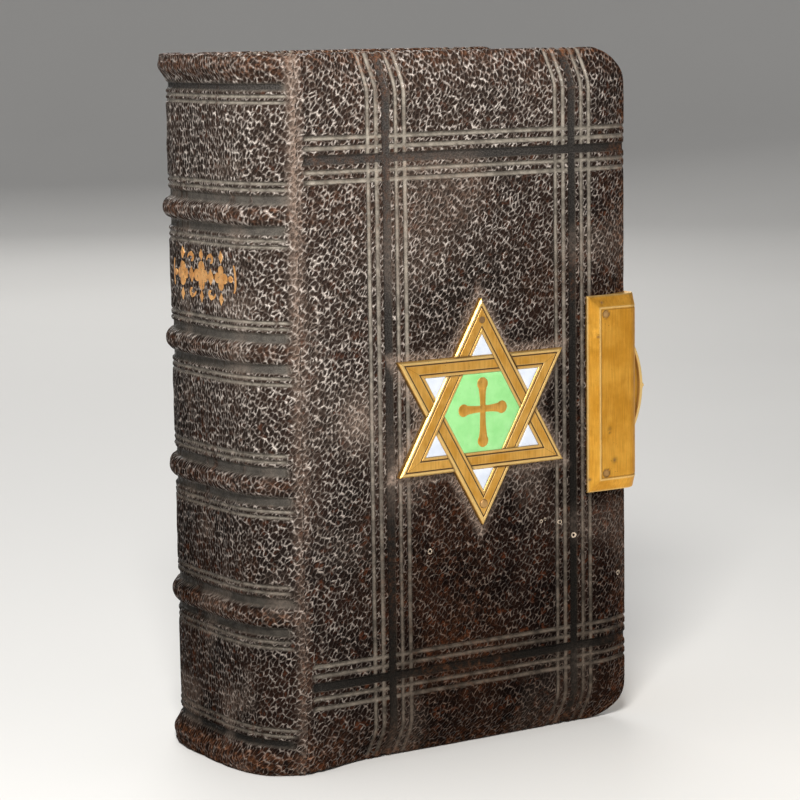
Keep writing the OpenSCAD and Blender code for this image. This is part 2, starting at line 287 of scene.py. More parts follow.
# ---------------------------------------------------------------- node helpers
class Graph:
    """Short calls for the nodes of one material."""

    def __init__(self, name):
        self.material = bpy.data.materials.new(name)
        self.material.use_nodes = True
        self.tree = self.material.node_tree
        self.shader = self.tree.nodes["Principled BSDF"]

    def node(self, kind, inputs=None, **settings):
        made = self.tree.nodes.new(kind)
        for key, value in settings.items():
            setattr(made, key, value)
        for key, value in (inputs or {}).items():
            self.put(made.inputs[key], value)
        return made

    def put(self, socket, value):
        if isinstance(value, bpy.types.NodeSocket):
            self.tree.links.new(value, socket)
        elif isinstance(value, tuple) and len(value) == 3 and socket.type == "RGBA":
            socket.default_value = (*value, 1)
        else:
            socket.default_value = value

    def set(self, **inputs):
        for key, value in inputs.items():
            self.put(self.shader.inputs[key.replace("_", " ")], value)

    def math(self, operation, a, b=0.0, clamp=False):
        made = self.node("ShaderNodeMath", {0: a, 1: b}, operation=operation, use_clamp=clamp)
        return made.outputs[0]

    def times(self, a, b):
        return self.math("MULTIPLY", a, b)

    def mix(self, factor, a, b):
        made = self.node("ShaderNodeMix", data_type="RGBA")
        self.put(made.inputs[0], factor)
        self.put(made.inputs[6], a)
        self.put(made.inputs[7], b)
        return made.outputs[2]

    def remap(self, value, low, high, to_low=0.0, to_high=1.0):
        made = self.node("ShaderNodeMapRange", {0: value, 1: low, 2: high, 3: to_low, 4: to_high},
                         interpolation_type="SMOOTHSTEP")
        return made.outputs[0]

    def attribute(self, name, vector=False):
        made = self.node("ShaderNodeAttribute", attribute_name=name)
        return made.outputs["Vector"] if vector else made.outputs["Fac"]

    def place(self, vector=None, scale=(1, 1, 1), rotate=(0, 0, 0)):
        """A vector scaled and turned. Without one it is the point's place at rest, in metres."""
        vector = vector or self.attribute("rest", vector=True)
        made = self.node("ShaderNodeMapping", {"Vector": vector, "Scale": scale, "Rotation": rotate})
        return made.outputs[0]

    def in_mm(self):
        """The point's place at rest in millimetres."""
        return self.place(scale=(1000, 1000, 1000))

    def noise(self, vector, scale, detail, rough=0.55):
        made = self.node("ShaderNodeTexNoise", {"Vector": vector, "Scale": scale, "Detail": detail,
                                                "Roughness": rough})
        return made.outputs["Fac"]

    def warp(self, vector, scale, amount):
        """The vector pushed about by noise, by up to half the amount."""
        made = self.node("ShaderNodeTexNoise", {"Vector": vector, "Scale": scale, "Detail": 2.0})
        centred = self.node("ShaderNodeVectorMath", {0: made.outputs["Color"], 1: (0.5, 0.5, 0.5)},
                            operation="SUBTRACT")
        sized = self.node("ShaderNodeVectorMath", {0: centred.outputs[0], "Scale": amount}, operation="SCALE")
        moved = self.node("ShaderNodeVectorMath", {0: vector, 1: sized.outputs[0]}, operation="ADD")
        return moved.outputs[0]

    def cells(self, vector, scale, feature="DISTANCE_TO_EDGE", randomness=1.0, dimensions="3D"):
        made = self.node("ShaderNodeTexVoronoi", {"Vector": vector, "Scale": scale,
                                                  "Randomness": randomness},
                         feature=feature, voronoi_dimensions=dimensions)
        return made.outputs["Distance"]

    def bump(self, height, distance, strength=1.0, normal=None):
        made = self.node("ShaderNodeBump", {"Height": height, "Distance": distance, "Strength": strength})
        if normal is not None:
            self.put(made.inputs["Normal"], normal)
        return made.outputs[0]


# ---------------------------------------------------------------- materials
# Old worm-holes in the front cover: place across and up from the joint's tail end, and size
WORM_HOLES = [(joint_x + 25.96, 37.6, 0.42), (joint_x + 50.6, 40.3, 0.30), (joint_x + 51.5, 40.6, 0.24),
              (joint_x + 54.9, 39.7, 0.36), (joint_x + 58.3, 36.8, 0.42), (joint_x + 69.3, 28.2, 0.40)]


def leather_material(name, turning):
    """Straight-grain morocco: a net of raised shiny wrinkles round dark cells, smooth where it is tooled,
    with painted glints on the ridges and painted light that is brighter near the head and joint.
    """
    g = Graph(name)
    flow = g.attribute("flow", vector=True)
    wear = g.attribute("wear")
    tooled = g.attribute("tooled")
    dust_and_sheen = g.attribute("dust_and_sheen")
    black = g.attribute("black")
    # Painted light: high near the head and joint, low towards the fore-edge; it lightens ridges, cells and
    # tooled lines below.
    painted_light = g.attribute("painted_light")

    def wrinkles(turn):
        slanted = g.place(flow, rotate=(0, 0, turn))
        strokes = g.noise(g.place(g.warp(slanted, 0.8, 0.5), scale=(1.25, 0.34, 1)), 1.0, 1.0)
        strokes = g.math("ABSOLUTE", g.math("SUBTRACT", strokes, 0.5))
        strokes = g.remap(strokes, 0.0, 0.062, 1.0, 0.0)
        long_cells = g.place(g.warp(slanted, 0.5, 0.8), scale=(1.30, 0.74, 1))
        from_edge = g.cells(long_cells, 1.0, dimensions="2D", randomness=0.78)
        reach = g.remap(g.noise(slanted, 0.9, 2.0), 0.35, 0.65, 0.17, 0.33)
        # Ridges are drawn broader where the painted light is strong.
        reach = g.math("ADD", reach, g.times(painted_light, 0.13))
        broad = g.math("SUBTRACT", 1.05, g.math("DIVIDE", from_edge, reach), clamp=True)
        broken = g.remap(g.noise(slanted, 0.8, 2.0), 0.36, 0.60, 0.45, 1.0)
        return g.math("MAXIMUM", g.times(strokes, 0.34), g.times(broad, broken))

    net = wrinkles(math.radians(38))
    if turning:
        slant = g.node("ShaderNodeMix", data_type="FLOAT")
        g.put(slant.inputs[0], g.attribute("slant"))
        g.put(slant.inputs[2], wrinkles(math.radians(3)))
        g.put(slant.inputs[3], wrinkles(math.radians(-34)))
        net = slant.outputs[0]
    grainy = g.math("SUBTRACT", 1.0, g.times(tooled, 0.97))
    pores = g.noise(flow, 4.0, 4.0)
    patches = g.noise(flow, 0.09, 3.0)
    mottle = g.noise(flow, 0.6, 3.0)
    glint = g.remap(g.noise(flow, 0.95, 3.0, 0.6), 0.38, 0.68)

    cell = g.mix(g.remap(patches, 0.38, 0.62), (0.0035, 0.0018, 0.0014), (0.012, 0.005, 0.003))
    cell = g.mix(g.remap(mottle, 0.55, 0.72), cell, (0.050, 0.015, 0.006))
    # Cells painted paler where the painted light is strong.
    lit_cell_share = g.times(g.times(painted_light, painted_light), 0.24)
    cell = g.mix(lit_cell_share, cell, (0.095, 0.068, 0.054))
    # Painted glints: ridges turn pale silver-beige where the glint noise is high.
    ridge = g.mix(glint, (0.100, 0.070, 0.052), (0.72, 0.635, 0.565))
    shaded_ridge = g.mix(glint, (0.014, 0.008, 0.005), (0.105, 0.068, 0.047))
    # Lit and shaded copies of the ridge colour, blended by the painted light.
    ridge = g.mix(painted_light, shaded_ridge, ridge)
    colour = g.mix(g.times(g.remap(net, 0.25, 1.0), grainy), cell, ridge)
    # Tooled lines: their paleness is a painted sheen on the burnished grooves, with a lit and a shaded copy
    # blended by the painted light.
    lit_line = g.mix(g.remap(mottle, 0.3, 0.7), (0.15, 0.13, 0.105), (0.32, 0.285, 0.235))
    shaded_line = g.mix(g.remap(mottle, 0.3, 0.7), (0.022, 0.016, 0.011), (0.085, 0.064, 0.048))
    smooth_colour = g.mix(painted_light, shaded_line, lit_line)
    # Blackened wide lines in a shaded and a lit copy, blended by the painted light.
    shaded_dull = g.mix(g.remap(pores, 0.4, 0.62), (0.004, 0.0035, 0.003), (0.013, 0.011, 0.009))
    lit_dull = g.mix(g.remap(pores, 0.4, 0.62), (0.022, 0.019, 0.017), (0.075, 0.068, 0.062))
    dull = g.mix(g.times(painted_light, painted_light), shaded_dull, lit_dull)
    smooth_colour = g.mix(black, smooth_colour, dull)
    colour = g.mix(tooled, colour, smooth_colour)
    rub = g.times(wear, g.remap(g.noise(flow, 0.7, 5.0, 0.65), 0.36, 0.66))
    rub = g.times(rub, g.remap(net, 0.15, 0.8, 0.30, 0.9))
    rubbed = g.mix(g.remap(g.noise(flow, 1.6, 3.0), 0.35, 0.65), (0.040, 0.013, 0.005), (0.24, 0.095, 0.040))
    colour = g.mix(rub, colour, rubbed)
    # Pale beige from real dust and polish residue, and painted sheen on the joint's crest.
    powder_and_sheen = g.times(dust_and_sheen, g.remap(g.noise(flow, 1.7, 5.0, 0.7), 0.28, 0.62, 0.25, 1.0))
    powder_and_sheen = g.times(powder_and_sheen, g.remap(net, 0.0, 0.6, 0.45, 0.9))
    colour = g.mix(powder_and_sheen, colour, (0.36, 0.27, 0.215))
    holes = 0.0
    for hole_x, hole_z, size in WORM_HOLES:
        away = g.node("ShaderNodeVectorMath", {0: flow, 1: (hole_x, hole_z, 9.0)}, operation="DISTANCE")
        away = away.outputs["Value"]
        rim = g.times(g.remap(away, size * 0.5, size * 0.8), g.remap(away, size, size * 1.4, 1.0, 0.0))
        rim = g.times(rim, g.remap(pores, 0.4, 0.52, 0.35, 1.0))
        # Painted shade: the middle of each hole is near black for the shade inside it; the pale dust ring
        # round it is real.
        inside = g.remap(away, size * 0.45, size * 0.7, 1.0, 0.0)
        colour = g.mix(inside, colour, (0.004, 0.002, 0.002))
        colour = g.mix(rim, colour, (0.62, 0.50, 0.38))
        holes = g.math("ADD", holes, inside)

    rough = g.remap(net, 0.2, 0.9, 0.85, 0.36)
    rough = g.math("SUBTRACT", rough, g.times(tooled, 0.10))
    rough = g.math("ADD", rough, g.times(powder_and_sheen, 0.3), clamp=True)
    shine = g.times(g.remap(net, 0.3, 0.9, 0.04, 0.5), grainy)
    pressed = g.times(tooled, g.math("SUBTRACT", 0.42, g.times(black, 0.34)))
    # Specular level also follows the painted light.
    shine = g.times(g.math("ADD", shine, pressed), g.remap(painted_light, 0.0, 0.8, 0.30, 1.0))

    height = g.times(net, grainy)
    height = g.math("ADD", height, g.times(pores, 0.12))
    height = g.math("SUBTRACT", height, holes)
    long_folds = g.noise(g.place(flow, scale=(0.9, 0.14, 1)), 1.0, 3.0)
    height = g.math("ADD", height, g.times(g.times(long_folds, 0.5), grainy))
    bump = g.bump(height, 0.00042)
    g.set(Base_Color=colour, Roughness=rough, Normal=bump, Specular_IOR_Level=shine)
    return g.material


def brass_material(name, warm, light, rough_low, rough_high, brush=0.5):
    """Old lacquered brass with fine brush lines and patches of patina; the dirt mark puts grime in its cut
    lines and painted shade where bands meet and round the star's plate, and the edge mark paints pale
    highlights on edges and bevels, partly rubbed brass.
    """
    g = Graph(name)
    at = g.in_mm()
    dirt_and_shade = g.attribute("dirt_and_shade")
    edge = g.attribute("edge")
    patches = g.noise(at, 0.22, 4.0)
    fine = g.noise(g.place(at, scale=(3.2, 3.2, 0.22)), 1.0, 4.0)
    specks = g.cells(at, 1.15, feature="F1")
    colour = g.mix(g.remap(patches, 0.32, 0.68), warm, light)
    colour = g.mix(g.times(g.remap(fine, 0.35, 0.75), 0.35), colour, (0.42, 0.17, 0.02))
    # Painted highlight: edges and bevels turn pale bright brass, partly from real rubbing.
    colour = g.mix(g.times(edge, 0.7), colour, (1.0, 0.76, 0.34))
    spots = g.times(g.remap(specks, 0.06, 0.13, 1.0, 0.0), g.remap(patches, 0.5, 0.62))
    colour = g.mix(g.times(spots, 0.6), colour, (0.13, 0.05, 0.012))
    # Grime in cut lines and painted shade, both from the dirt mark.
    colour = g.mix(dirt_and_shade, colour, (0.05, 0.025, 0.008))
    rough = g.remap(g.noise(at, 0.9, 5.0, 0.6), 0.3, 0.7, rough_low, rough_high)
    rough = g.math("ADD", rough, g.times(dirt_and_shade, 0.3), clamp=True)
    metal = g.remap(dirt_and_shade, 0.2, 0.9, 1.0, 0.25)
    bump = g.bump(fine, 0.00002, brush)
    bump = g.bump(g.noise(at, 1.6, 3.0), 0.00005, 0.5, bump)
    g.set(Base_Color=colour, Metallic=metal, Roughness=rough, Normal=bump)
    return g.material


def enamel_material(name, low, high):
    """Glassy enamel, slightly uneven, with a few pits and faint scratches."""
    g = Graph(name)
    at = g.in_mm()
    cloud = g.noise(at, 0.35, 4.0)
    pits = g.remap(g.cells(at, 0.9, feature="F1"), 0.04, 0.09, 1.0, 0.0)
    scratch = g.remap(g.noise(g.place(at, scale=(4, 1, 0.35), rotate=(0, 0.6, 0)), 1.0, 2.0), 0.62, 0.72)
    colour = g.mix(g.remap(cloud, 0.3, 0.7), low, high)
    colour = g.mix(g.times(pits, 0.55), colour, (0.25, 0.24, 0.14))
    colour = g.mix(g.times(scratch, 0.15), colour, (0.5, 0.5, 0.42))
    rough = g.remap(cloud, 0.3, 0.7, 0.12, 0.26)
    bump = g.bump(cloud, 0.00008, 0.5)
    bump = g.bump(pits, 0.00005, -0.6, bump)
    g.set(Base_Color=colour, Roughness=rough, Normal=bump, Coat_Weight=0.3, Coat_Roughness=0.08)
    return g.material


def paper_material(name, low, high, foxing=0.5):
    """Aged paper with fibres, foxing spots and darker rubbed parts."""
    g = Graph(name)
    at = g.in_mm()
    cloud = g.noise(at, 0.06, 4.0)
    fibre = g.noise(g.place(at, scale=(2.0, 6.0, 3.0)), 1.0, 5.0)
    spots = g.remap(g.cells(g.warp(at, 0.5, 1.5), 0.13, feature="F1"), 0.05, 0.24, 1.0, 0.0)
    colour = g.mix(g.remap(cloud, 0.3, 0.7), low, high)
    colour = g.mix(g.times(g.remap(fibre, 0.4, 0.7), 0.18), colour, (0.36, 0.26, 0.14))
    spots = g.times(spots, g.remap(g.noise(at, 0.09, 2.0), 0.47, 0.60))
    colour = g.mix(g.times(spots, foxing), colour, (0.34, 0.19, 0.08))
    rough = g.remap(fibre, 0.3, 0.7, 0.72, 0.9)
    bump = g.bump(fibre, 0.00003, 0.6)
    g.set(Base_Color=colour, Roughness=rough, Normal=bump, Specular_IOR_Level=0.25)
    return g.material


def gilt_edge_material():
    """Gilt page edges: gold over fine leaf lines, rubbed through to red bole and paper here and there."""
    g = Graph("gilt_page_edge")
    at = g.in_mm()
    lines = g.noise(g.place(at, scale=(0.25, 9.0, 0.25)), 1.0, 4.0)
    wear = g.remap(g.noise(at, 0.35, 5.0, 0.7), 0.56, 0.72)
    colour = g.mix(g.remap(lines, 0.35, 0.65), (0.62, 0.36, 0.10), (0.88, 0.60, 0.24))
    colour = g.mix(wear, colour, g.mix(lines, (0.34, 0.13, 0.06), (0.55, 0.40, 0.24)))
    metal = g.remap(wear, 0.1, 0.7, 0.95, 0.1)
    rough = g.remap(lines, 0.3, 0.7, 0.28, 0.45)
    g.set(Base_Color=colour, Metallic=metal, Roughness=rough, Normal=g.bump(lines, 0.00004, 0.7))
    return g.material


def gold_tooling_material():
    """Gold leaf pressed into leather, broken where the grain shows through."""
    g = Graph("gold_tooling")
    at = g.in_mm()
    broken = g.remap(g.noise(g.place(at, scale=(1, 1, 0.6)), 2.6, 5.0, 0.7), 0.56, 0.66)
    tone = g.noise(at, 0.7, 3.0)
    colour = g.mix(g.remap(tone, 0.3, 0.7), (0.80, 0.36, 0.10), (0.98, 0.56, 0.22))
    colour = g.mix(broken, colour, (0.10, 0.045, 0.02))
    metal = g.remap(broken, 0.0, 1.0, 0.75, 0.0)
    rough = g.remap(tone, 0.3, 0.7, 0.38, 0.55)
    g.set(Base_Color=colour, Metallic=metal, Roughness=rough, Normal=g.bump(tone, 0.00012, 0.7))
    return g.material


def thread_material(name, one, two):
    """Silk thread wound in two colours."""
    g = Graph(name)
    at = g.in_mm()
    wound = g.attribute("wound")
    tone = g.noise(at, 2.4, 4.0)
    colour = g.mix(g.remap(wound, 0.4, 0.6), one, two)
    colour = g.mix(g.times(tone, 0.35), colour, (0.10, 0.06, 0.04))
    g.set(Base_Color=colour, Roughness=g.remap(tone, 0.3, 0.7, 0.45, 0.65),
          Normal=g.bump(tone, 0.00004, 0.8), Sheen_Weight=0.4)
    return g.material


def fibrous_material(name, low, high, scale, stretch):
    """Millboard, woven lining or cord, for the pieces under the leather."""
    g = Graph(name)
    at = g.in_mm()
    layers = g.noise(g.place(at, scale=stretch), scale, 5.0)
    weave = g.node("ShaderNodeTexWave", {"Vector": at, "Scale": scale * 1.4, "Distortion": 1.5})
    colour = g.mix(g.remap(layers, 0.3, 0.7), low, high)
    colour = g.mix(g.times(weave.outputs["Fac"], 0.25), colour, low)
    g.set(Base_Color=colour, Roughness=g.remap(layers, 0.3, 0.7, 0.8, 0.95),
          Normal=g.bump(layers, 0.00012, 0.8), Specular_IOR_Level=0.2)
    return g.material


def floor_material():
    g = Graph("studio_floor")
    tone = g.noise(g.place(scale=(6, 6, 6)), 1.0, 3.0)
    colour = g.mix(tone, (0.66, 0.65, 0.63), (0.70, 0.69, 0.67))
    g.set(Base_Color=colour, Roughness=g.remap(tone, 0, 1, 0.6, 0.7))
    return g.material


LEATHER = leather_material("cover_morocco", False)
SPINE_LEATHER = leather_material("spine_morocco", True)
STAR_BRASS = brass_material("star_brass", (0.72, 0.36, 0.055), (0.90, 0.52, 0.130), 0.36, 0.50)
PIN_BRASS = brass_material("pin_brass", (0.46, 0.25, 0.080), (0.66, 0.42, 0.180), 0.40, 0.55)
CLASP_BRASS = brass_material("clasp_brass", (0.70, 0.33, 0.035), (0.88, 0.46, 0.070), 0.40, 0.54, 0.9)
GREEN = enamel_material("green_enamel", (0.24, 0.60, 0.20), (0.31, 0.68, 0.26))
WHITE = enamel_material("white_enamel", (0.58, 0.63, 0.72), (0.68, 0.72, 0.80))
PAPER = paper_material("bible_paper", (0.66, 0.56, 0.39), (0.78, 0.69, 0.52), 0.35)
ENDPAPER = paper_material("endpaper", (0.50, 0.40, 0.26), (0.66, 0.56, 0.40), 0.75)
GILT_EDGE = gilt_edge_material()
GOLD = gold_tooling_material()
SILK = thread_material("headband_silk", (0.42, 0.035, 0.03), (0.66, 0.56, 0.40))
BOARD = fibrous_material("millboard", (0.20, 0.14, 0.085), (0.36, 0.27, 0.17), 1.2, (1, 6, 1))
LINING = fibrous_material("mull_lining", (0.34, 0.27, 0.17), (0.55, 0.46, 0.32), 2.2, (1, 1, 1))
CORD = fibrous_material("hemp_cord", (0.28, 0.20, 0.11), (0.50, 0.39, 0.24), 2.6, (1, 3, 1))


# ---------------------------------------------------------------- tooled lines and cover shape
def line_cut(distance, half, soft):
    """1 in the middle of a line, easing to 0 at its edges."""
    return 1 - smooth(half - soft, half, np.abs(distance))


def fillet_group(distance):
    """(depth, smooth part, blackened part) of two fine lines, a wide line and two fine lines."""
    depth = 0.42 * line_cut(distance, wide_line, 0.35)
    black = line_cut(distance, wide_line, 0.15)
    tooled = black
    for place in line_places:
        for side in (-1, 1):
            away = distance - side * place
            depth = np.maximum(depth, 0.30 * line_cut(away, fine_line, 0.38))
            tooled = np.maximum(tooled, line_cut(away, fine_line, 0.14))
    return depth, tooled, black


def edge_depth(x, z):
    """Full depth of the edge slope, which is less at the fore-edge than at head and tail."""
    beside = (fore_x - x) - np.minimum(z, book_h - z)
    return fore_d + (cushion_d - fore_d) * smooth(-5, 5, beside)


def slope_drop(inset, depth=cushion_d):
    """Depth of the cover's sloped edge at a distance inside the outline."""
    s = np.clip(cushion_w - np.asarray(inset, float), 0, cushion_w)
    full = math.hypot(cushion_w, cushion_soft) - cushion_soft
    return depth * (np.hypot(s, cushion_soft) - cushion_soft) / full


def crest_y(z):
    """How far the crest of a joint lies from the middle of the book at a height."""
    near = np.minimum(z, book_h - z)
    return half_t - crest_drop - crest_share * slope_drop(near)


def corner_mapped(x, z, inset):
    """Moves the points of the two fore-edge corner squares onto quarter discs."""
    r = corner_r - inset
    x, z = x.copy(), z.copy()
    centre_x = fore_x - corner_r
    for centre_z, side in ((corner_r, -1), (book_h - corner_r, 1)):
        p, q = (x - centre_x) / r, side * (z - centre_z) / r
        inside = (p > 0) & (q > 0)
        big, small = np.maximum(p, q), np.minimum(p, q)
        turn = np.where(big > 0, math.pi / 4 * small / np.maximum(big, 1e-9), 0)
        angle = np.where(p >= q, turn, math.pi / 2 - turn)
        x = np.where(inside, centre_x + r * big * np.cos(angle), x)
        z = np.where(inside, centre_z + side * r * big * np.sin(angle), z)
    return x, z


def outline_distance(x, z):
    """Distance inside the cover's outline."""
    centre_x = fore_x - corner_r
    distance = np.minimum(np.minimum(z, book_h - z), fore_x - x)
    for centre_z, side in ((corner_r, -1), (book_h - corner_r, 1)):
        p, q = x - centre_x, side * (z - centre_z)
        distance = np.where((p > 0) & (q > 0), corner_r - np.hypot(p, q), distance)
    return distance


def crest_lift(x):
    """Share of the slope at head and tail that a cover lacks near the crest of its joint."""
    return (1 - crest_share) * (1 - smooth(0, crest_run, x - joint_x))


def face_drop(x, z, inside):
    """How far the slope lowers a cover's face."""
    ends = slope_drop(np.minimum(z, book_h - z))
    return np.maximum(slope_drop(inside, edge_depth(x, z)) - crest_lift(x) * ends, 0)


def cover_relief(x, z):
    """(distance of the face from the book's middle, tooled part, blackened part) over a cover."""
    inside = outline_distance(x, z)
    near_joint = x - joint_x
    drop = face_drop(x, z, inside)
    drop = drop + crest_drop * np.clip(1 - near_joint / 2.6, 0, 1) ** 2
    settled = smooth(0.2, 1.6, near_joint)
    drop = drop + 0.30 * settled * line_cut(near_joint - 2.4, 1.1, 0.9)
    depth, tooled, black = np.zeros_like(x), np.zeros_like(x), np.zeros_like(x)
    along = smooth(0.9, 1.6, near_joint)
    groups = [(z - place, along) for place in fillet_z] + [(x - place, 1.0) for place in fillet_x]
    for distance, reach in groups:
        d, t, b = fillet_group(distance)
        depth = np.maximum(depth, d * reach)
        tooled = np.maximum(tooled, t * reach)
        black = np.maximum(black, b * reach)
    rough = 0.07 * lumps(x + 3 * lumps(x, z, 9, 5), z, 3.1, 11) + 0.05 * lumps(x, z, 1.3, 12)
    rough = rough * settled * (1 - 0.85 * tooled)
    swell = 0.10 * lumps(x, z, 24, 13) * settled
    return half_t - drop - depth + rough + swell, tooled, black


EDGE_INSET = 0.45       # where the cover's face turns into its rounded edge
TURN_IN = 6.9           # width of the leather turned in over the inside of the board


def outward(x, z):
    """Unit direction (x, z) out of the cover's outline at points of its border."""
    centre_x = fore_x - corner_r
    out_x = np.where(x > centre_x + 1e-6, x - centre_x, 0.0)
    above = np.where(z > book_h - corner_r + 1e-6, z - book_h + corner_r, 0.0)
    out_z = np.where(z < corner_r - 1e-6, z - corner_r, above)
    length = np.hypot(out_x, out_z)
    return out_x / length, out_z / length


def edge_rings(x, z, y, sunk, out_z):
    """(inset, distance from the book's middle, cut) rings from a cover's face, round its edge and behind."""
    thick = y - inner_y
    level = np.zeros_like(y) + inner_y
    rings = [(0.17, 0.20, 1), (0.04, 0.42, 1), (0.0, 0.62, 0.8), (0.10, 0.84, 0.4), (0.34, 0.97, 0),
             (0.8, 1.0, 0), (2.6, 1.0, 0), (4.8, 1.0, 0), (TURN_IN - 0.15, 1.0, 0)]
    rings = [(inset, y - thick * share, sunk * keep) for inset, share, keep in rings]
    rings += [(TURN_IN, level + 0.12, 0), (TURN_IN, level + 0.5, 0), (1.05, level + 0.5, 0)]
    for inset in (1.1, 3.0, 5.0, TURN_IN):
        eased = crest_lift(x) * (out_z != 0)
        behind = half_t - leather_t - slope_drop(inset, edge_depth(x, z)) * (1 - eased)
        rings.append((inset, np.maximum(behind, inner_y + 0.56), 0))
    return rings


def hinge_bend(side, body):
    """Describes the bend from the text block to a cover's body at its joint; finish only bakes a piece given
    this, so nothing bends by it.
    """
    start = (joint_x * MM, side * half_t * MM, 0)
    return "text_block", body, start, ((joint_x + hinge_soft) * MM, start[1], 0)


def cover_skin(name, side):
    """Leather of one cover: its face, rounded edges and turn-in, closed behind. side is -1 for the front."""
    xs = spaced(joint_x, fore_x - EDGE_INSET, 0.56, 0.2,
                [(joint_x, joint_x + 4)] + [(at - group_half, at + group_half) for at in fillet_x])
    zs = spaced(EDGE_INSET, book_h - EDGE_INSET, 0.56, 0.2,
                [(at - group_half, at + group_half) for at in fillet_z])
    columns, rows = len(xs), len(zs)
    grid_x, grid_z = np.meshgrid(xs, zs)
    x, z = corner_mapped(grid_x.ravel(), grid_z.ravel(), EDGE_INSET)
    y, tooled, black = cover_relief(x, z)
    inside = outline_distance(x, z)
    points = [np.stack([x, y, z], 1)]
    flow = [np.stack([x, z], 1)]
    marks = [tooled]
    blacks = [black]
    wear = [face_wear(x, z, inside)]
    faces = grid_faces(rows, columns)

    border = grid_border(rows, columns, closed=False)
    bx, by, bz = x[border], y[border], z[border]
    sunk = np.clip(half_t - face_drop(bx, bz, inside[border]) - by, 0, 0.5)
    out_x, out_z = outward(bx, bz)
    loops = [np.array(border)]
    travel = np.zeros(len(border))
    last = np.stack([bx, by, bz], 1)
    count = len(x)
    for inset, ring_y, cut in edge_rings(bx, bz, by, sunk, out_z):
        move = EDGE_INSET - inset - np.asarray(cut) * 0.8
        px, pz = bx + out_x * move, bz + out_z * move
        px = np.where(bx <= joint_x + 1e-6, joint_x, px)
        here = np.stack([px, ring_y + np.zeros(len(border)), pz], 1)
        travel = travel + np.linalg.norm(here - last, axis=1)
        last = here
        points.append(here)
        flow.append(np.stack([bx + out_x * travel, bz + out_z * travel], 1))
        nose = 0.25 + 0.75 * smooth(1.5, 0.3, inset) if inset < 1.5 else 0.12
        marks.append(tooled[border] * (0.8 if inset < 0.4 else 0.0))
        blacks.append(black[border] * (0.6 if inset < 0.4 else 0.0))
        wear.append(np.full(len(border), nose))
        loops.append(np.arange(count, count + len(border)))
        count += len(border)
    for lower, upper in zip(loops, loops[1:]):
        faces += ring_faces(list(lower), list(upper), closed=False, flip=True)
    faces.append(tuple(int(k) for k in loops[-1]))
    start_side = [int(loop[0]) for loop in loops]
    end_side = [int(loop[-1]) for loop in loops]
    joint_column = [r * columns for r in range(rows)]
    faces.append(tuple(joint_column + end_side[1:] + start_side[:0:-1]))

    points = np.concatenate(points)
    flow = np.concatenate(flow)
    points[:, 1] *= side
    if side > 0:
        faces = [f[::-1] for f in faces]
    wear = np.concatenate(wear)
    spread = 9.0 if side < 0 else 400.0
    attributes = {
        "flow": np.stack([flow[:, 0], flow[:, 1], np.full(len(flow), spread)], 1),
        "tooled": np.concatenate(marks),
        "black": np.concatenate(blacks),
        "wear": np.clip(wear, 0, 1),
        "dust_and_sheen": dust_and_crest_sheen(points) if side < 0 else np.zeros(len(points)),
        # Painted light over the cover: lighter near the head and the joint.
        "painted_light": painted_light_falloff(points[:, 0] - joint_x, points[:, 2]),
    }
    skin = make_piece(name, points, faces, LEATHER, attributes)
    fix_normals(skin)
    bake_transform(skin)
    return skin


def face_wear(x, z, inside):
    """How much the face of a cover is rubbed: most at its edges, corners and joint."""
    edge = 1 - smooth(0.2, 3.0, inside)
    joint = 0.5 * (1 - smooth(0.3, 1.7, x - joint_x))
    slope = 0.30 * (1 - smooth(2.0, 9.0, inside))
    patch = 0.30 * smooth(0.1, 0.7, lumps(x, z, 17, 31))
    along = 0.55 + 0.35 * lumps(z, x * 0, 9, 32)
    return np.clip(edge * 0.75 + joint * along + slope + patch, 0, 1)


def painted_light_falloff(across, z):
    """Painted light on the leather: brightest at the head and the joint, darkest low towards the fore-edge.
    """
    upward = smooth(-10, 150, z + 10 * lumps(across, z, 31, 81))
    outward = 1 - 0.55 * smooth(35, 76, across + 8 * lumps(z, across, 23, 82))
    return np.clip(0.02 + 1.05 * upward * outward + 0.34 * (1 - smooth(0, 26, across)), 0, 1)


def unit(degrees):
    return np.array([math.cos(math.radians(degrees)), math.sin(math.radians(degrees))])


def star_reach(x, z):
    """Distance outside the star's outline, for the residue round it."""
    px, pz = x - star_mid[0], z - star_mid[2]
    away = []
    for turn in (90, -90):
        normals = [unit(turn + 60 + 120 * k) for k in range(3)]
        sides = [px * normal[0] + pz * normal[1] for normal in normals]
        away.append(np.max(sides, axis=0) - star_r / 2)
    return np.minimum(away[0], away[1])


def dust_and_crest_sheen(points):
    """Polish residue round the star, painted sheen along the joint's crest that grows towards the head, a
    scuff beside the inner fillets and faint powdery patches elsewhere.
    """
    x, y, z = points.T
    near = star_reach(x, z)
    halo = 0.85 * (1 - smooth(0.3, 2.1, near))
    # Painted sheen along the joint's crest, strongest towards the head.
    crest = (0.5 + 0.4 * lumps(z, x * 0, 7, 42)) * (1 - smooth(0.2, 1.5, x - joint_x))
    halo = np.maximum(halo, crest * (0.12 + 0.88 * smooth(70, 122, z)))
    scuff = 0.75 * np.exp(-(((x + 23.5) / 3.6) ** 2 + ((z - 62.5) / 4.5) ** 2))
    faint = 0.22 * smooth(0.2, 0.8, lumps(x, z, 13, 41))
    return np.clip((halo + scuff + faint) * (y < -inner_y - 0.7), 0, 1)


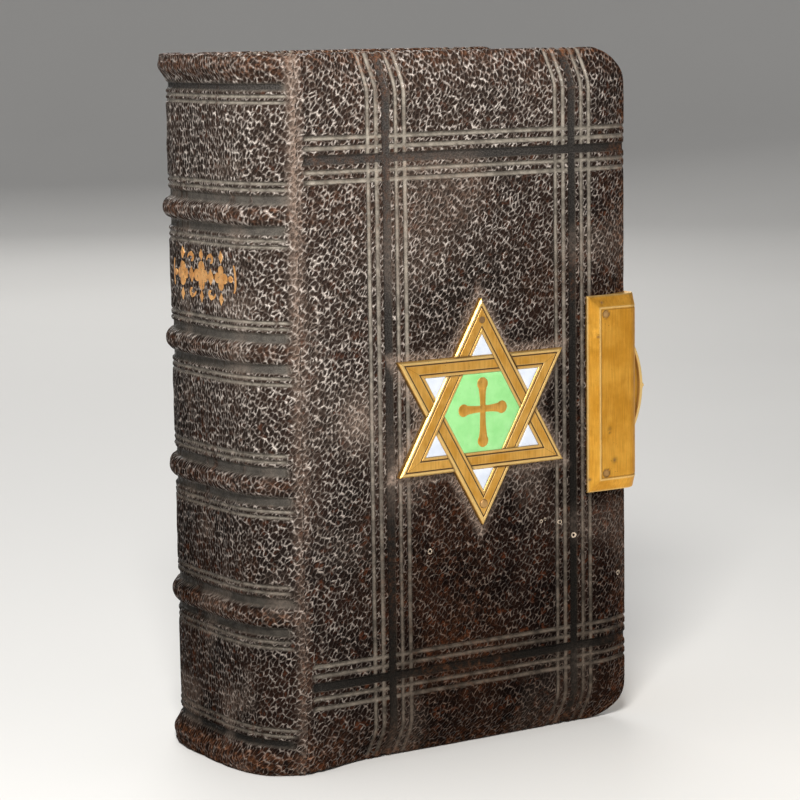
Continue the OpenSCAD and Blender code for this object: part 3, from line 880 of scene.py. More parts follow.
# ---------------------------------------------------------------- spine
def back_curve(steps):
    """(y share from -1 to 1, x behind the joint) of the rounded back, easing into both crests."""
    main = np.linspace(-0.93, 0.93, steps)
    body = np.stack([-bulge * (1 - np.abs(main) ** back_power), main * half_t], 1)
    ends = []
    for sign in (1, -1):
        start = body[-1] if sign > 0 else body[0]
        lean = bulge * back_power / half_t * 0.93 ** (back_power - 1)
        first = np.array([lean, sign]) / math.hypot(lean, 1) * 2.6
        last = np.array([math.cos(math.radians(17)), sign * math.sin(math.radians(17))]) * 2.6
        goal = np.array([0.0, sign * (half_t - crest_drop)])
        t = np.linspace(0, 1, 9)[1:, None]
        ease = (2 * t**3 - 3 * t**2 + 1) * start + (t**3 - 2 * t**2 + t) * first
        ease = ease + (3 * t**2 - 2 * t**3) * goal + (t**3 - t**2) * last
        ends.append(ease)
    return np.concatenate([ends[1][::-1], body, ends[0]])


BACK = back_curve(110)
BACK_STEPS = np.concatenate([[0], np.cumsum(np.linalg.norm(np.diff(BACK, axis=0), axis=1))])
BACK_LENGTH = BACK_STEPS[-1]
CAP_H = 4.6


def spine_base(u, z):
    """(point, outward normal) on the plain rounded back at a distance u round it and a height z."""
    narrow = crest_y(z) / (half_t - crest_drop)
    bx, by = np.interp(u, BACK_STEPS, BACK[:, 0]), np.interp(u, BACK_STEPS, BACK[:, 1])
    step = 0.4
    ax = np.interp(u + step, BACK_STEPS, BACK[:, 0]) - np.interp(u - step, BACK_STEPS, BACK[:, 0])
    ay = np.interp(u + step, BACK_STEPS, BACK[:, 1]) - np.interp(u - step, BACK_STEPS, BACK[:, 1])
    length = np.hypot(ax, ay)
    return (joint_x + bx, by * narrow), (-ay / length, ax / length)


def spine_relief(u, z):
    """(height over the plain back, tooled part, blackened part, wear) of caps, bands, lines and wrinkles."""
    to_joint = np.minimum(u, BACK_LENGTH - u)
    middle = smooth(1.5, 9.0, to_joint)
    rise = np.zeros_like(u)
    tooled = np.zeros_like(u)
    black = np.zeros_like(u)
    wear = (0.35 + 0.3 * lumps(z, u * 0, 9, 52)) * (1 - smooth(0.3, 2.0, to_joint))
    fade = smooth(1.2, 3.2, to_joint + 0.8 * lumps(z, u * 0, 3.0, 51))
    for level in BANDS:
        d = z - level
        bump = np.clip(1 - (np.abs(d) / 1.95) ** 2.4, 0, 1)
        rise = rise + (0.3 + 0.8 * middle) * bump * smooth(0.6, 4.5, to_joint)
        side_cut = line_cut(np.abs(d) - 2.65, 0.95, 0.3)
        fine = np.maximum(line_cut(np.abs(d) - 4.35, 0.38, 0.24), line_cut(np.abs(d) - 5.45, 0.38, 0.24))
        rise = rise - fade * np.maximum(0.42 * side_cut, 0.26 * fine)
        tooled = np.maximum(tooled, fade * np.maximum(side_cut, fine))
        black = np.maximum(black, 0.8 * fade * side_cut)
        wear = np.maximum(wear, (0.55 + 0.4 * lumps(u, z, 5, 53)) * smooth(0.3, 0.95, bump))
    for level, sign, flare in ((0.0, 1, tail_flare), (book_h, -1, head_flare)):
        d = sign * (z - level)
        rise = rise + flare * (1 - smooth(1.6, CAP_H + 0.9, d)) * smooth(0.3, 7.0, to_joint)
        rise = rise + 0.35 * np.exp(-((d - 2.6) / 1.3) ** 2) * smooth(1.0, 6.0, to_joint)
        cap_cut = line_cut(d - 5.7, 0.8, 0.35)
        fine = np.maximum(line_cut(d - 7.25, 0.36, 0.22), line_cut(d - 8.35, 0.36, 0.22))
        rise = rise - fade * np.maximum(0.4 * cap_cut, 0.24 * fine)
        tooled = np.maximum(tooled, fade * np.maximum(cap_cut, fine))
        black = np.maximum(black, fade * cap_cut)
        wear = np.maximum(wear, 0.95 * (1 - smooth(3.0, 4.9, d)))
    settled = smooth(0.2, 1.8, to_joint)
    wrinkle = 0.10 * lumps(u + 1.2 * lumps(u, z, 8, 61), z * 0.22, 1.5, 62) + 0.06 * lumps(u, z, 2.4, 63)
    rise = rise + settled * wrinkle * (1 - 0.7 * tooled)
    crack = smooth(0.55, 0.8, lumps(u, z * 0.12, 1.1, 64)) * settled
    return rise - 0.10 * crack, tooled * (1 - 0.55 * crack), black, np.clip(wear + 0.25 * crack, 0, 1)


def spine_point(u, z, lift=0.0):
    """Point on the finished spine leather, raised by lift."""
    (x, y), (nx, ny) = spine_base(u, z)
    rise = spine_relief(u, z)[0] + lift
    return np.stack([x + nx * rise, y + ny * rise, z], -1)


def spine_skin():
    """Leather of the spine between the two crests, turned in over the head and tail."""
    columns = 120
    us = np.linspace(0, BACK_LENGTH, columns)
    zones = [(0, 9.5), (book_h - 9.5, book_h)] + [(level - 6.2, level + 6.2) for level in BANDS]
    zs = spaced(0.55, book_h - 0.55, 0.6, 0.27, zones)
    u, z = [a.ravel() for a in np.meshgrid(us, zs)]
    rise, tooled, black, wear = spine_relief(u, z)
    rows = [np.stack([u, z, rise, z, z], 1)]
    marks, rubs = [tooled], [wear]
    lips = [(0.05, 0.28), (-0.25, 0.06), (-0.8, 0.0), (-1.35, 0.25), (-1.65, 1.0), (-1.7, 2.4)]
    turned_in = -leather_t - 0.02

    def lip_rows(level, sign, edge_rise, order):
        for depth, inward in order:
            height = level + sign * inward
            base_z = np.full(columns, level + sign * 0.55)
            rows.append(np.stack([us, base_z, edge_rise + depth, np.full(columns, height),
                                  base_z - sign * (0.6 - depth)], 1))
            marks.append(np.zeros(columns))
            rubs.append(np.full(columns, 0.8))

    edge_top = spine_relief(us, np.full(columns, book_h - 0.55))[0]
    edge_tail = spine_relief(us, np.full(columns, 0.55))[0]
    lip_rows(book_h, -1, edge_top, lips)
    for height in (book_h - 5, book_h * 0.75, book_h * 0.5, book_h * 0.25, 5.0):
        rows.append(np.stack([us, np.full(columns, height), np.full(columns, turned_in),
                              np.full(columns, height), np.full(columns, height)], 1))
        marks.append(np.zeros(columns))
        rubs.append(np.zeros(columns))
    lip_rows(0.0, 1, edge_tail, lips[::-1])
    table = np.concatenate(rows)
    (x, y), (nx, ny) = spine_base(table[:, 0], table[:, 1])
    to_joint = np.minimum(table[:, 0], BACK_LENGTH - table[:, 0])
    rise = table[:, 2]
    points = np.stack([x + nx * rise, y + ny * rise, table[:, 3]], 1)
    rear = points[:, 0] > joint_x
    points[:, 0] = np.where(rear, joint_x - 0.001, points[:, 0])
    total = len(table) // columns
    faces = grid_faces(total, columns)
    faces += ring_faces(range((total - 1) * columns, total * columns), range(columns), closed=False)
    faces.append(tuple(r * columns for r in range(total))[::-1])
    faces.append(tuple(r * columns + columns - 1 for r in range(total)))
    attributes = {
        "flow": np.stack([table[:, 0] + 150, table[:, 4], np.full(len(table), 70.0)], 1),
        "tooled": np.concatenate(marks),
        "black": np.concatenate([black, np.zeros(len(table) - len(black))]),
        "wear": np.concatenate(rubs),
        # Faint dust over the back, and painted sheen along the front joint's crest, strongest towards the
        # head.
        "dust_and_sheen": 0.25 * smooth(0.3, 0.9, lumps(table[:, 0], table[:, 4], 6, 71)) * smooth(0, 3, to_joint)
        + 0.8 * (1 - smooth(0.3, 2.6, table[:, 0])) * (0.3 + 0.7 * smooth(40, 110, table[:, 4])),
        "slant": 1 - smooth(5, 20, table[:, 0]),
        # Painted light on the spine: lighter near the front joint and the head, dimmer further round the
        # back.
        "painted_light": painted_light_falloff(table[:, 0] * 0.6, table[:, 4]) * (1 - 0.35 * smooth(12, 45, table[:, 0])),
    }
    skin = make_piece("spine_leather_skin", points, faces, SPINE_LEATHER, attributes)
    fix_normals(skin)
    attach(skin, "text_block")
    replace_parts(skin, "spine_leather")
    return skin


# ---------------------------------------------------------------- studio
def studio():
    """Pale floor that curves up far away all round, and soft lights with the strongest from upper left."""
    reach = np.array([0.0, 0.3, 0.6, 0.9, 1.1, 1.3, 1.5, 1.65, 1.75, 1.8])
    rise = np.array([0.0, 0.0, 0.0, 0.0, 0.01, 0.06, 0.18, 0.36, 0.62, 1.1])
    turns = 64
    points = [(r * math.cos(2 * math.pi * k / turns), r * math.sin(2 * math.pi * k / turns), h)
              for r, h in zip(reach[1:], rise[1:]) for k in range(turns)]
    points.append((0, 0, 0))
    loops = [list(range(n * turns, (n + 1) * turns)) for n in range(len(reach) - 1)]
    faces = [f for a, b in zip(loops, loops[1:]) for f in ring_faces(a, b)]
    faces += [(len(points) - 1, k, (k + 1) % turns) for k in range(turns)]
    floor = make_piece("floor", np.array(points) / MM, faces, floor_material())
    fix_normals(floor)
    world = bpy.data.worlds.new("studio_air")
    bpy.context.scene.world = world
    world.use_nodes = True
    world.node_tree.nodes["Background"].inputs[0].default_value = (0.86, 0.87, 0.90, 1)
    world.node_tree.nodes["Background"].inputs[1].default_value = 0.24
    bpy.context.scene.view_settings.view_transform = "Standard"
    target = Vector((0, 0, book_h / 2 * MM))
    lights = [
        ("key", (-0.30, -0.40, 0.46), 0.15, 5.2, (1.0, 0.985, 0.96)),
        ("fill", (0.75, -0.70, 0.30), 0.50, 0.9, (1.0, 0.96, 0.92)),
        ("top", (-0.10, 0.10, 0.95), 0.50, 2.4, (0.97, 0.985, 1.0)),
        ("back", (0.35, 0.85, 0.55), 0.60, 3.2, (1.0, 0.99, 0.97)),
    ]
    for name, place, size, power, colour in lights:
        data = bpy.data.lights.new(name, "AREA")
        data.shape = "SQUARE"
        data.size = size
        data.energy = power
        data.color = colour
        lamp = bpy.data.objects.new(name, data)
        lamp.location = place
        lamp.rotation_euler = (target - Vector(place)).to_track_quat("-Z", "Y").to_euler()
        bpy.context.scene.collection.objects.link(lamp)


def camera():
    azimuth, elevation, roll = math.radians(-32.61), math.radians(8.06), math.radians(-0.78)
    distance = 0.4788
    aim = Vector((joint_x + 20.03, -half_t, book_h / 2 + 2.13)) * MM
    back = Vector((math.sin(azimuth) * math.cos(elevation), -math.cos(azimuth) * math.cos(elevation),
                   math.sin(elevation)))
    data = bpy.data.cameras.new("camera")
    data.lens = 121.5
    data.sensor_width = 36
    data.clip_start = 0.01
    view = bpy.data.objects.new("camera", data)
    turn = (-back).to_track_quat("-Z", "Y").to_matrix() @ Matrix.Rotation(roll, 3, "Z")
    view.matrix_world = Matrix.Translation(aim + back * distance) @ turn.to_4x4()
    bpy.context.scene.collection.objects.link(view)
    bpy.context.scene.camera = view


# ---------------------------------------------------------------- star
band = 3.2              # width of one band of the star
base_t = 0.6            # thickness of the plate under the bands
star_face = -half_t - (star_high[1] - star_low[1])
# Across a band: place, height, dirt with painted shade low on its sides, and edge brightness, partly rubbed
# brass and partly painted highlight
BAND_PROFILE = [(0, 0, 0, 0), (0, 0.36, 0.2, 0.3), (0.26, 0.6, 0, 0.9), (0.62, 0.6, 0, 0.8),
                (0.70, 0.48, 1, 0), (0.84, 0.48, 1, 0), (0.94, 0.6, 0, 0.3), (1.1, 0.6, 0, 0),
                (band - 0.9, 0.6, 0, 0),
                (band - 0.78, 0.6, 0, 0.8), (band - 0.70, 0.48, 1, 0), (band - 0.56, 0.48, 1, 0),
                (band - 0.46, 0.6, 0, 0.3), (band - 0.1, 0.6, 0, 0.7), (band, 0.52, 0.5, 0.4),
                (band, 0, 1, 0)]


def meet(normal_a, far_a, normal_b, far_b):
    """Point where two lines meet, each given by its normal and its distance from the star's centre."""
    return np.linalg.solve(np.array([normal_a, normal_b]), np.array([far_a, far_b]))


def star_bands(build):
    """Twelve strips of two woven triangles. Each side passes once over the other triangle and once under."""
    half = star_r / 2
    for triangle in (0, 1):
        for k in range(3):
            facing = 270 + 120 * k + 180 * triangle
            normal = unit(facing)
            for side in (-1, 1):
                tip = unit(facing + side * 60)
                tip_line = np.array([-tip[1], tip[0]])
                under = side < 0
                loops = []
                for q, h, dirt_and_shade, bright in BAND_PROFILE:
                    outer_end = meet(normal, half - q, tip_line, 0.0)
                    if under:
                        inner_end = meet(normal, half - q, tip, half + 0.05)
                    else:
                        inner_end = meet(normal, half - q, unit(facing - side * 60), half - band - 0.05)
                    loops.append((outer_end, inner_end, h))
                ends = [[], []]
                for outer_end, inner_end, h in loops:
                    for at, point in enumerate((outer_end, inner_end)):
                        ends[at].append((star_x + point[0], -half_t - base_t - h, star_z + point[1]))
                length = math.dist(ends[0][3], ends[1][3])
                stations = [0, 0.15 / length, 0.33, 0.67, 1 - 0.45 / length, 1]
                loops = [[tuple(np.array(a) + (np.array(b) - np.array(a)) * t) for a, b in zip(*ends)]
                         for t in stations]
                dirt_and_shade = [d for q, h, d, bright in BAND_PROFILE]
                bright = [b for q, h, d, b in BAND_PROFILE]
                # Painted shade at both ends of each strip, where it meets the next strip and passes under a
                # crossing band.
                underpass_shade = [max(d, 0.75) for d in dirt_and_shade]
                build.loft(loops, dirt_and_shade=[max(d, 0.5) for d in dirt_and_shade] + dirt_and_shade * 4 + underpass_shade, edge=bright * 6)


def star_piece():
    build = Build()
    star_bands(build)
    corners = [unit(90 + 30 * k) * (star_r if k % 2 == 0 else star_r / math.sqrt(3)) for k in range(12)]
    rings = [(1.0, -half_t + 0.02), (1.0, -half_t - base_t - 0.02), (0.02, -half_t - base_t - 0.02)]
    loops = [[(star_x + c[0] * size, y, star_z + c[1] * size) for c in corners] for size, y in rings]
    # Painted shade: the plate under the bands is darkened all round its sides.
    build.loft([[(star_x + c[0] * 0.02, -half_t + 0.02, star_z + c[1] * 0.02) for c in corners]] + loops,
               dirt_and_shade=[0.8] * 48)
    cross_shapes(build)
    build.finish("star_plate_skin", STAR_BRASS, "front_cover", "brass", ["star_plate"], angle=28)


def cross_shapes(build):
    """A generic cross with flared arms and knobbed ends, standing just proud of the enamel."""
    low, high = -half_t - base_t, star_face - 0.02
    middle = np.array([0.0, 0.03 * star_r])
    reach, arm, knob, bar = 0.25 * star_r, 0.2 * star_r, 0.058 * star_r, 0.03 * star_r
    for end in np.array([(0, reach), (0, -reach), (arm, middle[1]), (-arm, middle[1])]):
        along = (end - middle) / np.linalg.norm(end - middle)
        across = np.array([-along[1], along[0]])
        loops = []
        for t in np.linspace(0, 1, 9):
            centre = middle + (end - middle) * t
            wide = bar * (1 + 0.75 * t ** 3)
            shape = [(-1, low), (-1, high + 0.08), (-0.75, high), (0.75, high), (1, high + 0.08), (1, low)]
            places = [(centre + across * wide * q, y) for q, y in shape]
            loops.append([(star_x + at[0], y, star_z + at[1]) for at, y in places])
        build.loft(loops)
        rings = [(1, low), (1, high + 0.1), (0.86, high), (0.6, high - 0.05), (0.3, high - 0.08),
                 (0.05, high - 0.09)]
        turned(build, (star_x + end[0], 0, star_z + end[1]), 1, [(knob * size, -y) for size, y in rings], 24)
    rings = [(0.95, low), (0.95, high + 0.05), (0.8, high - 0.02), (0.4, high - 0.08), (0.05, high - 0.1)]
    boss = [(1.5 * bar * size, -y) for size, y in rings]
    turned(build, (star_x, 0, star_z + middle[1]), 1, boss, 16)


def enamel_cell(build, centre, corners, size):
    """Enamel in a cell: low at the rim where it shrank, gently domed inside."""
    points = []
    for k in range(corners):
        a = unit(centre[2] + 360 / corners * k) * size
        b = unit(centre[2] + 360 / corners * (k + 1)) * size
        points += [a + (b - a) * t for t in np.linspace(0, 1, 9)[:-1]]
    loops = []
    for share, height in ((1.0, base_t), (1.0, 1.02), (0.97, 1.08), (0.9, 1.12), (0.75, 1.14), (0.5, 1.15),
                          (0.25, 1.15), (0.05, 1.15)):
        loop = []
        for x, z in np.array(points) * share:
            ripple = 0.012 * math.sin(1.9 * x + centre[0]) * math.sin(2.3 * z)
            loop.append((star_x + centre[0] + x, -half_t - height - ripple, star_z + centre[1] + z))
        loops.append(loop)
    build.loft(loops)


def enamels():
    green = Build()
    enamel_cell(green, (0, 0, 0), 6, (star_r / 2 - band) / math.cos(math.pi / 6) - 0.02)
    white = Build()
    reach = 2 * (star_r / 2 - band) - star_r / 2
    for k in range(6):
        turn = 30 + 60 * k
        mid = unit(turn) * (star_r / 2 + reach / 3)
        enamel_cell(white, (mid[0], mid[1], turn), 3, reach * 2 / 3 - 0.03)
    for build, slot, material in ((green, "green_enamel", GREEN), (white, "white_enamel", WHITE)):
        node = "star_" + slot
        build.finish(node + "_skin", material, "front_cover", slot, [node], angle=50)


def turned(build, centre, axis, profile, steps=28, dirt_and_shade=None):
    """A turned solid: radius and distance pairs round an axis (1 along -Y, 2 along +Z)."""
    loops = []
    for radius, along in profile:
        ring = []
        for a in circle(steps):
            p, q = radius * math.cos(a), radius * math.sin(a)
            if axis == 1:
                ring.append((centre[0] + p, centre[1] - along, centre[2] + q))
            else:
                ring.append((centre[0] + p, centre[1] + q, centre[2] + along))
        loops.append(ring)
    marks = None if dirt_and_shade is None else np.repeat(dirt_and_shade, steps)
    build.loft(loops, dirt_and_shade=marks)


def pins():
    build = Build()
    for side, r, dome in ((1, 0.62, 0.02), (-1, 0.85, 0.26)):
        at = (star_x, star_face, star_z + side * 0.81 * star_r)
        profile = [(0.4, -4.2), (0.42, -1.0), (0.45, -0.1), (r, -0.05), (r, 0.05),
                   (r * 0.85, 0.05 + dome * 0.55), (r * 0.5, 0.05 + dome * 0.9), (r * 0.12, 0.05 + dome)]
        turned(build, at, 1, profile, dirt_and_shade=[0, 0, 0, 1, 0.8] + ([0.7] * 3 if side > 0 else [0.1, 0, 0]))
    build.finish("star_pins_skin", PIN_BRASS, "front_cover", "brass", ["star_pins"], angle=50)


# ---------------------------------------------------------------- clasp
clasp_z = (plate_low[2] + plate_high[2]) / 2
plate_face = -plate_low[1]
plate_right = plate_high[0]
plate_end = -plate_high[1]
BEVEL = 2.3
BEND = 3.0
KNUCKLE = HINGES["clasp_hinge"]
knuckle_r = 1.3
rivet_x = fore_x - 7.4
rivet_z = 14.9
# Stains on a plate: place across, place up from its middle, size and strength
PLATE_MARKS = [(rivet_x - 1.7, 10.8, 0.34, 0.9), (rivet_x - 0.7, 17.1, 0.42, 0.9),
               (rivet_x + 0.8, -6.6, 0.45, 0.6), (rivet_x + 0.8, -7.3, 0.25, 0.8),
               (rivet_x + 1.9, -12.6, 0.5, 0.9), (rivet_x - 3.2, -15.9, 0.3, 0.7)]


def plate_grid():
    """(outer points, inner points, stains and grime, painted edge highlight) of the front plate, bent over
    the fore-edge.
    """
    left, flat_end = plate_low[0], plate_right - BEND
    straight = spaced(0, flat_end - left, 0.3, 0.12, [(0, BEVEL + 0.8)])
    path = [(left + t, plate_face, 0.0, 1.0, t) for t in straight]
    for a in np.linspace(0, math.pi / 2, 15)[1:]:
        path.append((flat_end + BEND * math.sin(a), plate_face - BEND + BEND * math.cos(a), math.sin(a),
                     math.cos(a), straight[-1] + BEND * a))
    length = plate_face - BEND - plate_end
    for t in np.linspace(0, length, 14)[1:]:
        path.append((plate_right, plate_face - BEND - t, 1.0, 0.0, path[-1][4] + length / 13))
    path = np.array(path)
    low, high = plate_low[2], plate_high[2]
    zs = spaced(low, high, 0.33, 0.12, [(low, low + BEVEL + 0.8), (high - BEVEL - 0.8, high)])
    outer = np.zeros((len(zs), len(path), 3))
    dirt_and_shade, edge = np.zeros((len(zs), len(path))), np.zeros((len(zs), len(path)))
    for r, z in enumerate(zs):
        x, y, nx, ny, u = path.T
        from_end = min(z - low, high - z)
        inside = np.minimum(u, from_end)
        drop = np.clip(1 - inside / BEVEL, 0, 1)
        round_drop = np.clip(1 - from_end / BEVEL, 0, 1) * np.maximum(ny, 0.25)
        drop = np.where(u > straight[-1], round_drop, drop)
        cut = line_cut(inside - BEVEL - 0.32, 0.17, 0.12)
        drop = drop + 0.07 * cut + 0.10 * np.exp(-(inside / 0.12) ** 2)
        drop = drop + 0.02 * lumps(u, np.full_like(u, z), 3.1, 91)
        outer[r] = np.stack([x - nx * drop, -(y - ny * drop), np.full_like(x, z)], 1)
        # Painted highlight at the foot of the bevel and along the outer edge, partly rubbed brass.
        edge[r] = np.exp(-((inside - BEVEL) / 0.16) ** 2) + np.exp(-(inside / 0.2) ** 2)
        marks = 0.55 * cut
        for side in (-1, 1):
            away = np.hypot(x - rivet_x, z - clasp_z - side * rivet_z)
            marks = np.maximum(marks, np.where(u < straight[-1], np.exp(-((away - 0.72) / 0.14) ** 2), 0))
        for mark_x, mark_z, size, depth in PLATE_MARKS:
            away = np.hypot(x - mark_x, z - clasp_z - mark_z)
            marks = np.maximum(marks, np.where(u < straight[-1], depth * np.exp(-(away / size) ** 2), 0))
        dirt_and_shade[r] = np.clip(marks + 0.5 * smooth(0.6, 0, u), 0, 1)
    inner = np.zeros((2, len(path), 3))
    ix = np.minimum(path[:, 0], fore_x + 0.02)
    under = half_t - slope_drop(fore_x - ix, fore_d) - 0.05
    iy = np.where(path[:, 0] >= fore_x, np.minimum(path[:, 1] - 0.3, under), under)
    iy[-1] = plate_end
    for r, z in enumerate((low, high)):
        inner[r] = np.stack([ix, -iy, np.full(len(path), z)], 1)
    return outer, inner, dirt_and_shade, np.clip(edge, 0, 1)


def mirrored(points):
    points = points.copy()
    points[..., 1] *= -1
    return points


def knuckle(build, low, high):
    rings = [(knuckle_r - 0.18, low), (knuckle_r, low + 0.14), (knuckle_r, high - 0.14),
             (knuckle_r - 0.18, high)]
    turned(build, (KNUCKLE[0], KNUCKLE[1], 0), 2, rings, dirt_and_shade=[0.6, 0, 0, 0.6])


def clasp():
    outer, inner, dirt_and_shade, edge = plate_grid()
    front, back = Build(), Build()
    front.panel(outer, inner, dirt_and_shade, edge)
    back.panel(mirrored(outer), mirrored(inner), dirt_and_shade, edge)
    half = (strap_high[2] - strap_low[2]) / 2
    for side in (-1, 1):
        low, high = sorted((clasp_z + side * (half / 2 + 0.1), clasp_z + side * half))
        knuckle(back, low, high)
        web = []
        for x in (plate_right - 0.4, plate_right + 0.3, KNUCKLE[0]):
            thick = 0.8 if x > plate_right else 0.95
            web.append([(x, KNUCKLE[1] + thick * p, z) for p, z in ((-1, low + 0.1), (1, low + 0.1),
                                                                  (1, high - 0.1), (-1, high - 0.1))])
        back.loft(web, dirt_and_shade=[0.5] * 12)
    profile = [(0.5, -4.4), (0.55, -1.2), (0.6, -0.1), (0.6, 0.02), (0.45, 0.07), (0.2, 0.085), (0.05, 0.09)]
    dirt_and_shade = [0, 0, 0.9, 0.5, 0.1, 0, 0]
    for where, plate in (("front", front), ("back", back)):
        node, body = "clasp_" + where + "_plate", where + "_cover"
        plate.finish(node + "_skin", CLASP_BRASS, body, "brass", [node], angle=24)
        rivets = Build()
        for end in (-1, 1):
            turned(rivets, (rivet_x, -plate_face, clasp_z + end * rivet_z), 1, profile, dirt_and_shade=dirt_and_shade)
        if where == "back":
            rivets.points = [(x, -y, z) for x, y, z in rivets.points]
        node = "clasp_" + where + "_rivets"
        rivets.finish(node + "_skin", PIN_BRASS, body, "brass", [node], angle=50)
    pin = Build()
    low, high = strap_low[2], strap_high[2]
    profile = [(0.2, low - 0.4), (0.75, low - 0.36), (1.0, low - 0.2), (1.0, low - 0.03), (0.6, low),
               (0.6, high), (1.0, high + 0.03), (1.0, high + 0.2), (0.75, high + 0.36), (0.2, high + 0.4)]
    turned(pin, (KNUCKLE[0], KNUCKLE[1], 0), 2, profile, dirt_and_shade=[0, 0, 0, 0.7, 1, 1, 0.7, 0, 0, 0])
    pin.finish("clasp_hinge_pin_skin", CLASP_BRASS, "back_cover", "brass", ["clasp_hinge_pin"], angle=40)
    strap()


lift_out = 3.3          # how far the thumb lift stands out
lift_half = 10.0        # half its height
strap_t = 1.2           # thickness of the strap


def lift_loop(shrink, y, x_start):
    """Half-moon of the thumb lift at one depth, with a small point at its crown."""
    out, half = lift_out - shrink, lift_half - shrink
    r = (half * half + out * out) / (2 * out)
    spread = math.asin(half / r)
    loop = []
    for a in np.linspace(-spread, spread, 41):
        nib = 0.4 * math.exp(-(r * math.sin(a) / 0.35) ** 2) * (1 if shrink < 0.5 else 0)
        loop.append((x_start + out - r + r * math.cos(a) + nib, y, clasp_z + r * math.sin(a)))
    return loop


def strap():
    """Strap over the fore-edge with rounded edges, an engraved border, its barrel and the thumb lift."""
    inner_x = fore_x + 1.2
    outer_x = inner_x + strap_t
    low, high = strap_low[2], strap_high[2]
    start, stop = strap_low[1], KNUCKLE[1] - 1.9
    ys = spaced(start, stop, 0.8, 0.16, [(start, start + 2.4), (stop - 2.4, stop)])
    zs = spaced(low, high, 0.8, 0.16, [(low, low + 2.4), (high - 2.4, high)])
    y, z = np.meshgrid(ys, zs)
    inside = np.minimum(np.minimum(z - low, high - z), np.minimum(y - start, stop - y + 0.3))
    drop = 0.42 * (1 - np.sqrt(1 - np.clip(1 - inside / 0.45, 0, 1) ** 2))
    cut = np.maximum(line_cut(inside - 1.25, 0.17, 0.12), line_cut(inside - 1.75, 0.12, 0.1))
    outer = np.stack([outer_x - drop - 0.08 * cut, y, z], 2)
    inner = np.stack([np.full((2, len(ys)), inner_x), np.stack([ys, ys]),
                      np.stack([np.full(len(ys), low), np.full(len(ys), high)])], 2)
    build = Build()
    # Painted highlight along the strap's rounded edges, partly rubbed brass.
    build.panel(outer, inner, 0.6 * cut, np.exp(-(inside / 0.3) ** 2))
    tongue = knuckle_half() - 0.1
    loops = []
    for at in np.linspace(stop - 0.05, KNUCKLE[1], 5):
        loops.append([(inner_x + 0.02, at, clasp_z - tongue), (outer_x - 0.02, at, clasp_z - tongue),
                      (outer_x - 0.02, at, clasp_z + tongue), (inner_x + 0.02, at, clasp_z + tongue)])
    build.loft(loops)
    knuckle(build, clasp_z - tongue, clasp_z + tongue)
    front_y = strap_low[1]
    depths = [(0.1, 1.0), (0.0, 0.9), (0.0, 0.12), (0.14, 0.0), (0.68, 0.0), (0.84, 0.36), (1.3, 0.4)]
    # Painted highlight round the thumb lift's rim, partly rubbed brass.
    build.loft([lift_loop(shrink, front_y + depth, outer_x - 0.15) for shrink, depth in depths],
               dirt_and_shade=[0] * 41 * 5 + [0.75] * 41 + [0.2] * 41, edge=[0] * 41 * 2 + [1] * 41 * 3 + [0] * 82)
    build.finish("clasp_strap_skin", CLASP_BRASS, "strap", "brass", ["clasp_strap"], angle=30)


def knuckle_half():
    return (strap_high[2] - strap_low[2]) / 4


# ---------------------------------------------------------------- leaves and inner pieces
leaf_clear = 0.2        # air between a pastedown and the first leaf
leaf_pitch = 0.42       # from one loose leaf to the next
section_count = sum(1 for name in frame["nodes"] if name.startswith("section_"))
block_front = -inner_y + leaf_clear + 4 * leaf_pitch
block_back = inner_y - leaf_clear - 2 * leaf_pitch
block_b, block_w = bulge - 1.8, half_t - 1.8
shoulder_x = joint_x - 0.3
block_x = fore_x - square
LEAVES_EACH = 14


def leaf_line(f):
    """(x, y) stations from the back to the fore-edge of the leaf at a share f through the block."""
    y_back = np.clip(block_w * (2 * f - 1), -block_w + 0.15, block_w - 0.15)
    x_back = min(joint_x - block_b * (1 - (abs(y_back) / block_w) ** back_power), shoulder_x)
    y = block_front + (block_back - block_front) * f
    mid, half = (block_front + block_back) / 2, (block_back - block_front) / 2
    x_far = block_x - 4 * (1 - ((y - mid) / half) ** 2)
    ends = smooth(0, 1 / section_count, min(f, 1 - f))
    fan = shoulder_x + (joint_x - 3 - shoulder_x) * ends
    settle = shoulder_x + 0.5 + (joint_x + 5 - shoulder_x - 0.5) * ends
    points = [(x_back, y_back), (max(fan, x_back + 0.05), y_back)]
    for t in (0.25, 0.5, 0.75):
        ease = t * t * (3 - 2 * t)
        points.append((points[1][0] + (settle - points[1][0]) * t, y_back + (y - y_back) * ease))
    points += [(settle + (x_far - settle) * t, y) for t in (0, 0.33, 0.66, 1)]
    return points


def sections():
    """Every folded section as a stack of separate leaves with slightly uneven gilt edges."""
    random = np.random.RandomState(7)
    thick = 0.5 * (block_back - block_front) / section_count / LEAVES_EACH * 0.9
    for i in range(section_count):
        build = Build()
        for k in range(LEAVES_EACH):
            f = (i + (k + 0.5) / LEAVES_EACH) / section_count
            line = leaf_line(f)
            low = square + random.uniform(-0.05, 0.05)
            high = book_h - square + random.uniform(-0.05, 0.05)
            stray = random.uniform(-0.09, 0.06)
            points, faces, slots = [], [], []
            last = len(line) - 1
            for n, (x, y) in enumerate(line):
                x = x + stray * (n == last)
                wide = thick * (1.28 if n < 2 else 1.0)
                points += [(x, y - wide, low), (x, y + wide, low), (x, y + wide, high), (x, y - wide, high)]
            for n in range(last):
                faces += ring_faces(range(4 * n, 4 * n + 4), range(4 * n + 4, 4 * n + 8))
                slots += [1, 0, 1, 0]
            faces += [(3, 2, 1, 0), tuple(range(4 * last, 4 * last + 4))]
            build.add(points, faces, slots=slots + [0, 1])
        node = "section_%02d" % (i + 1)
        build.finish(node + "_leaves", PAPER, "text_block", "leaves", [node], extra=[GILT_EDGE], angle=30)


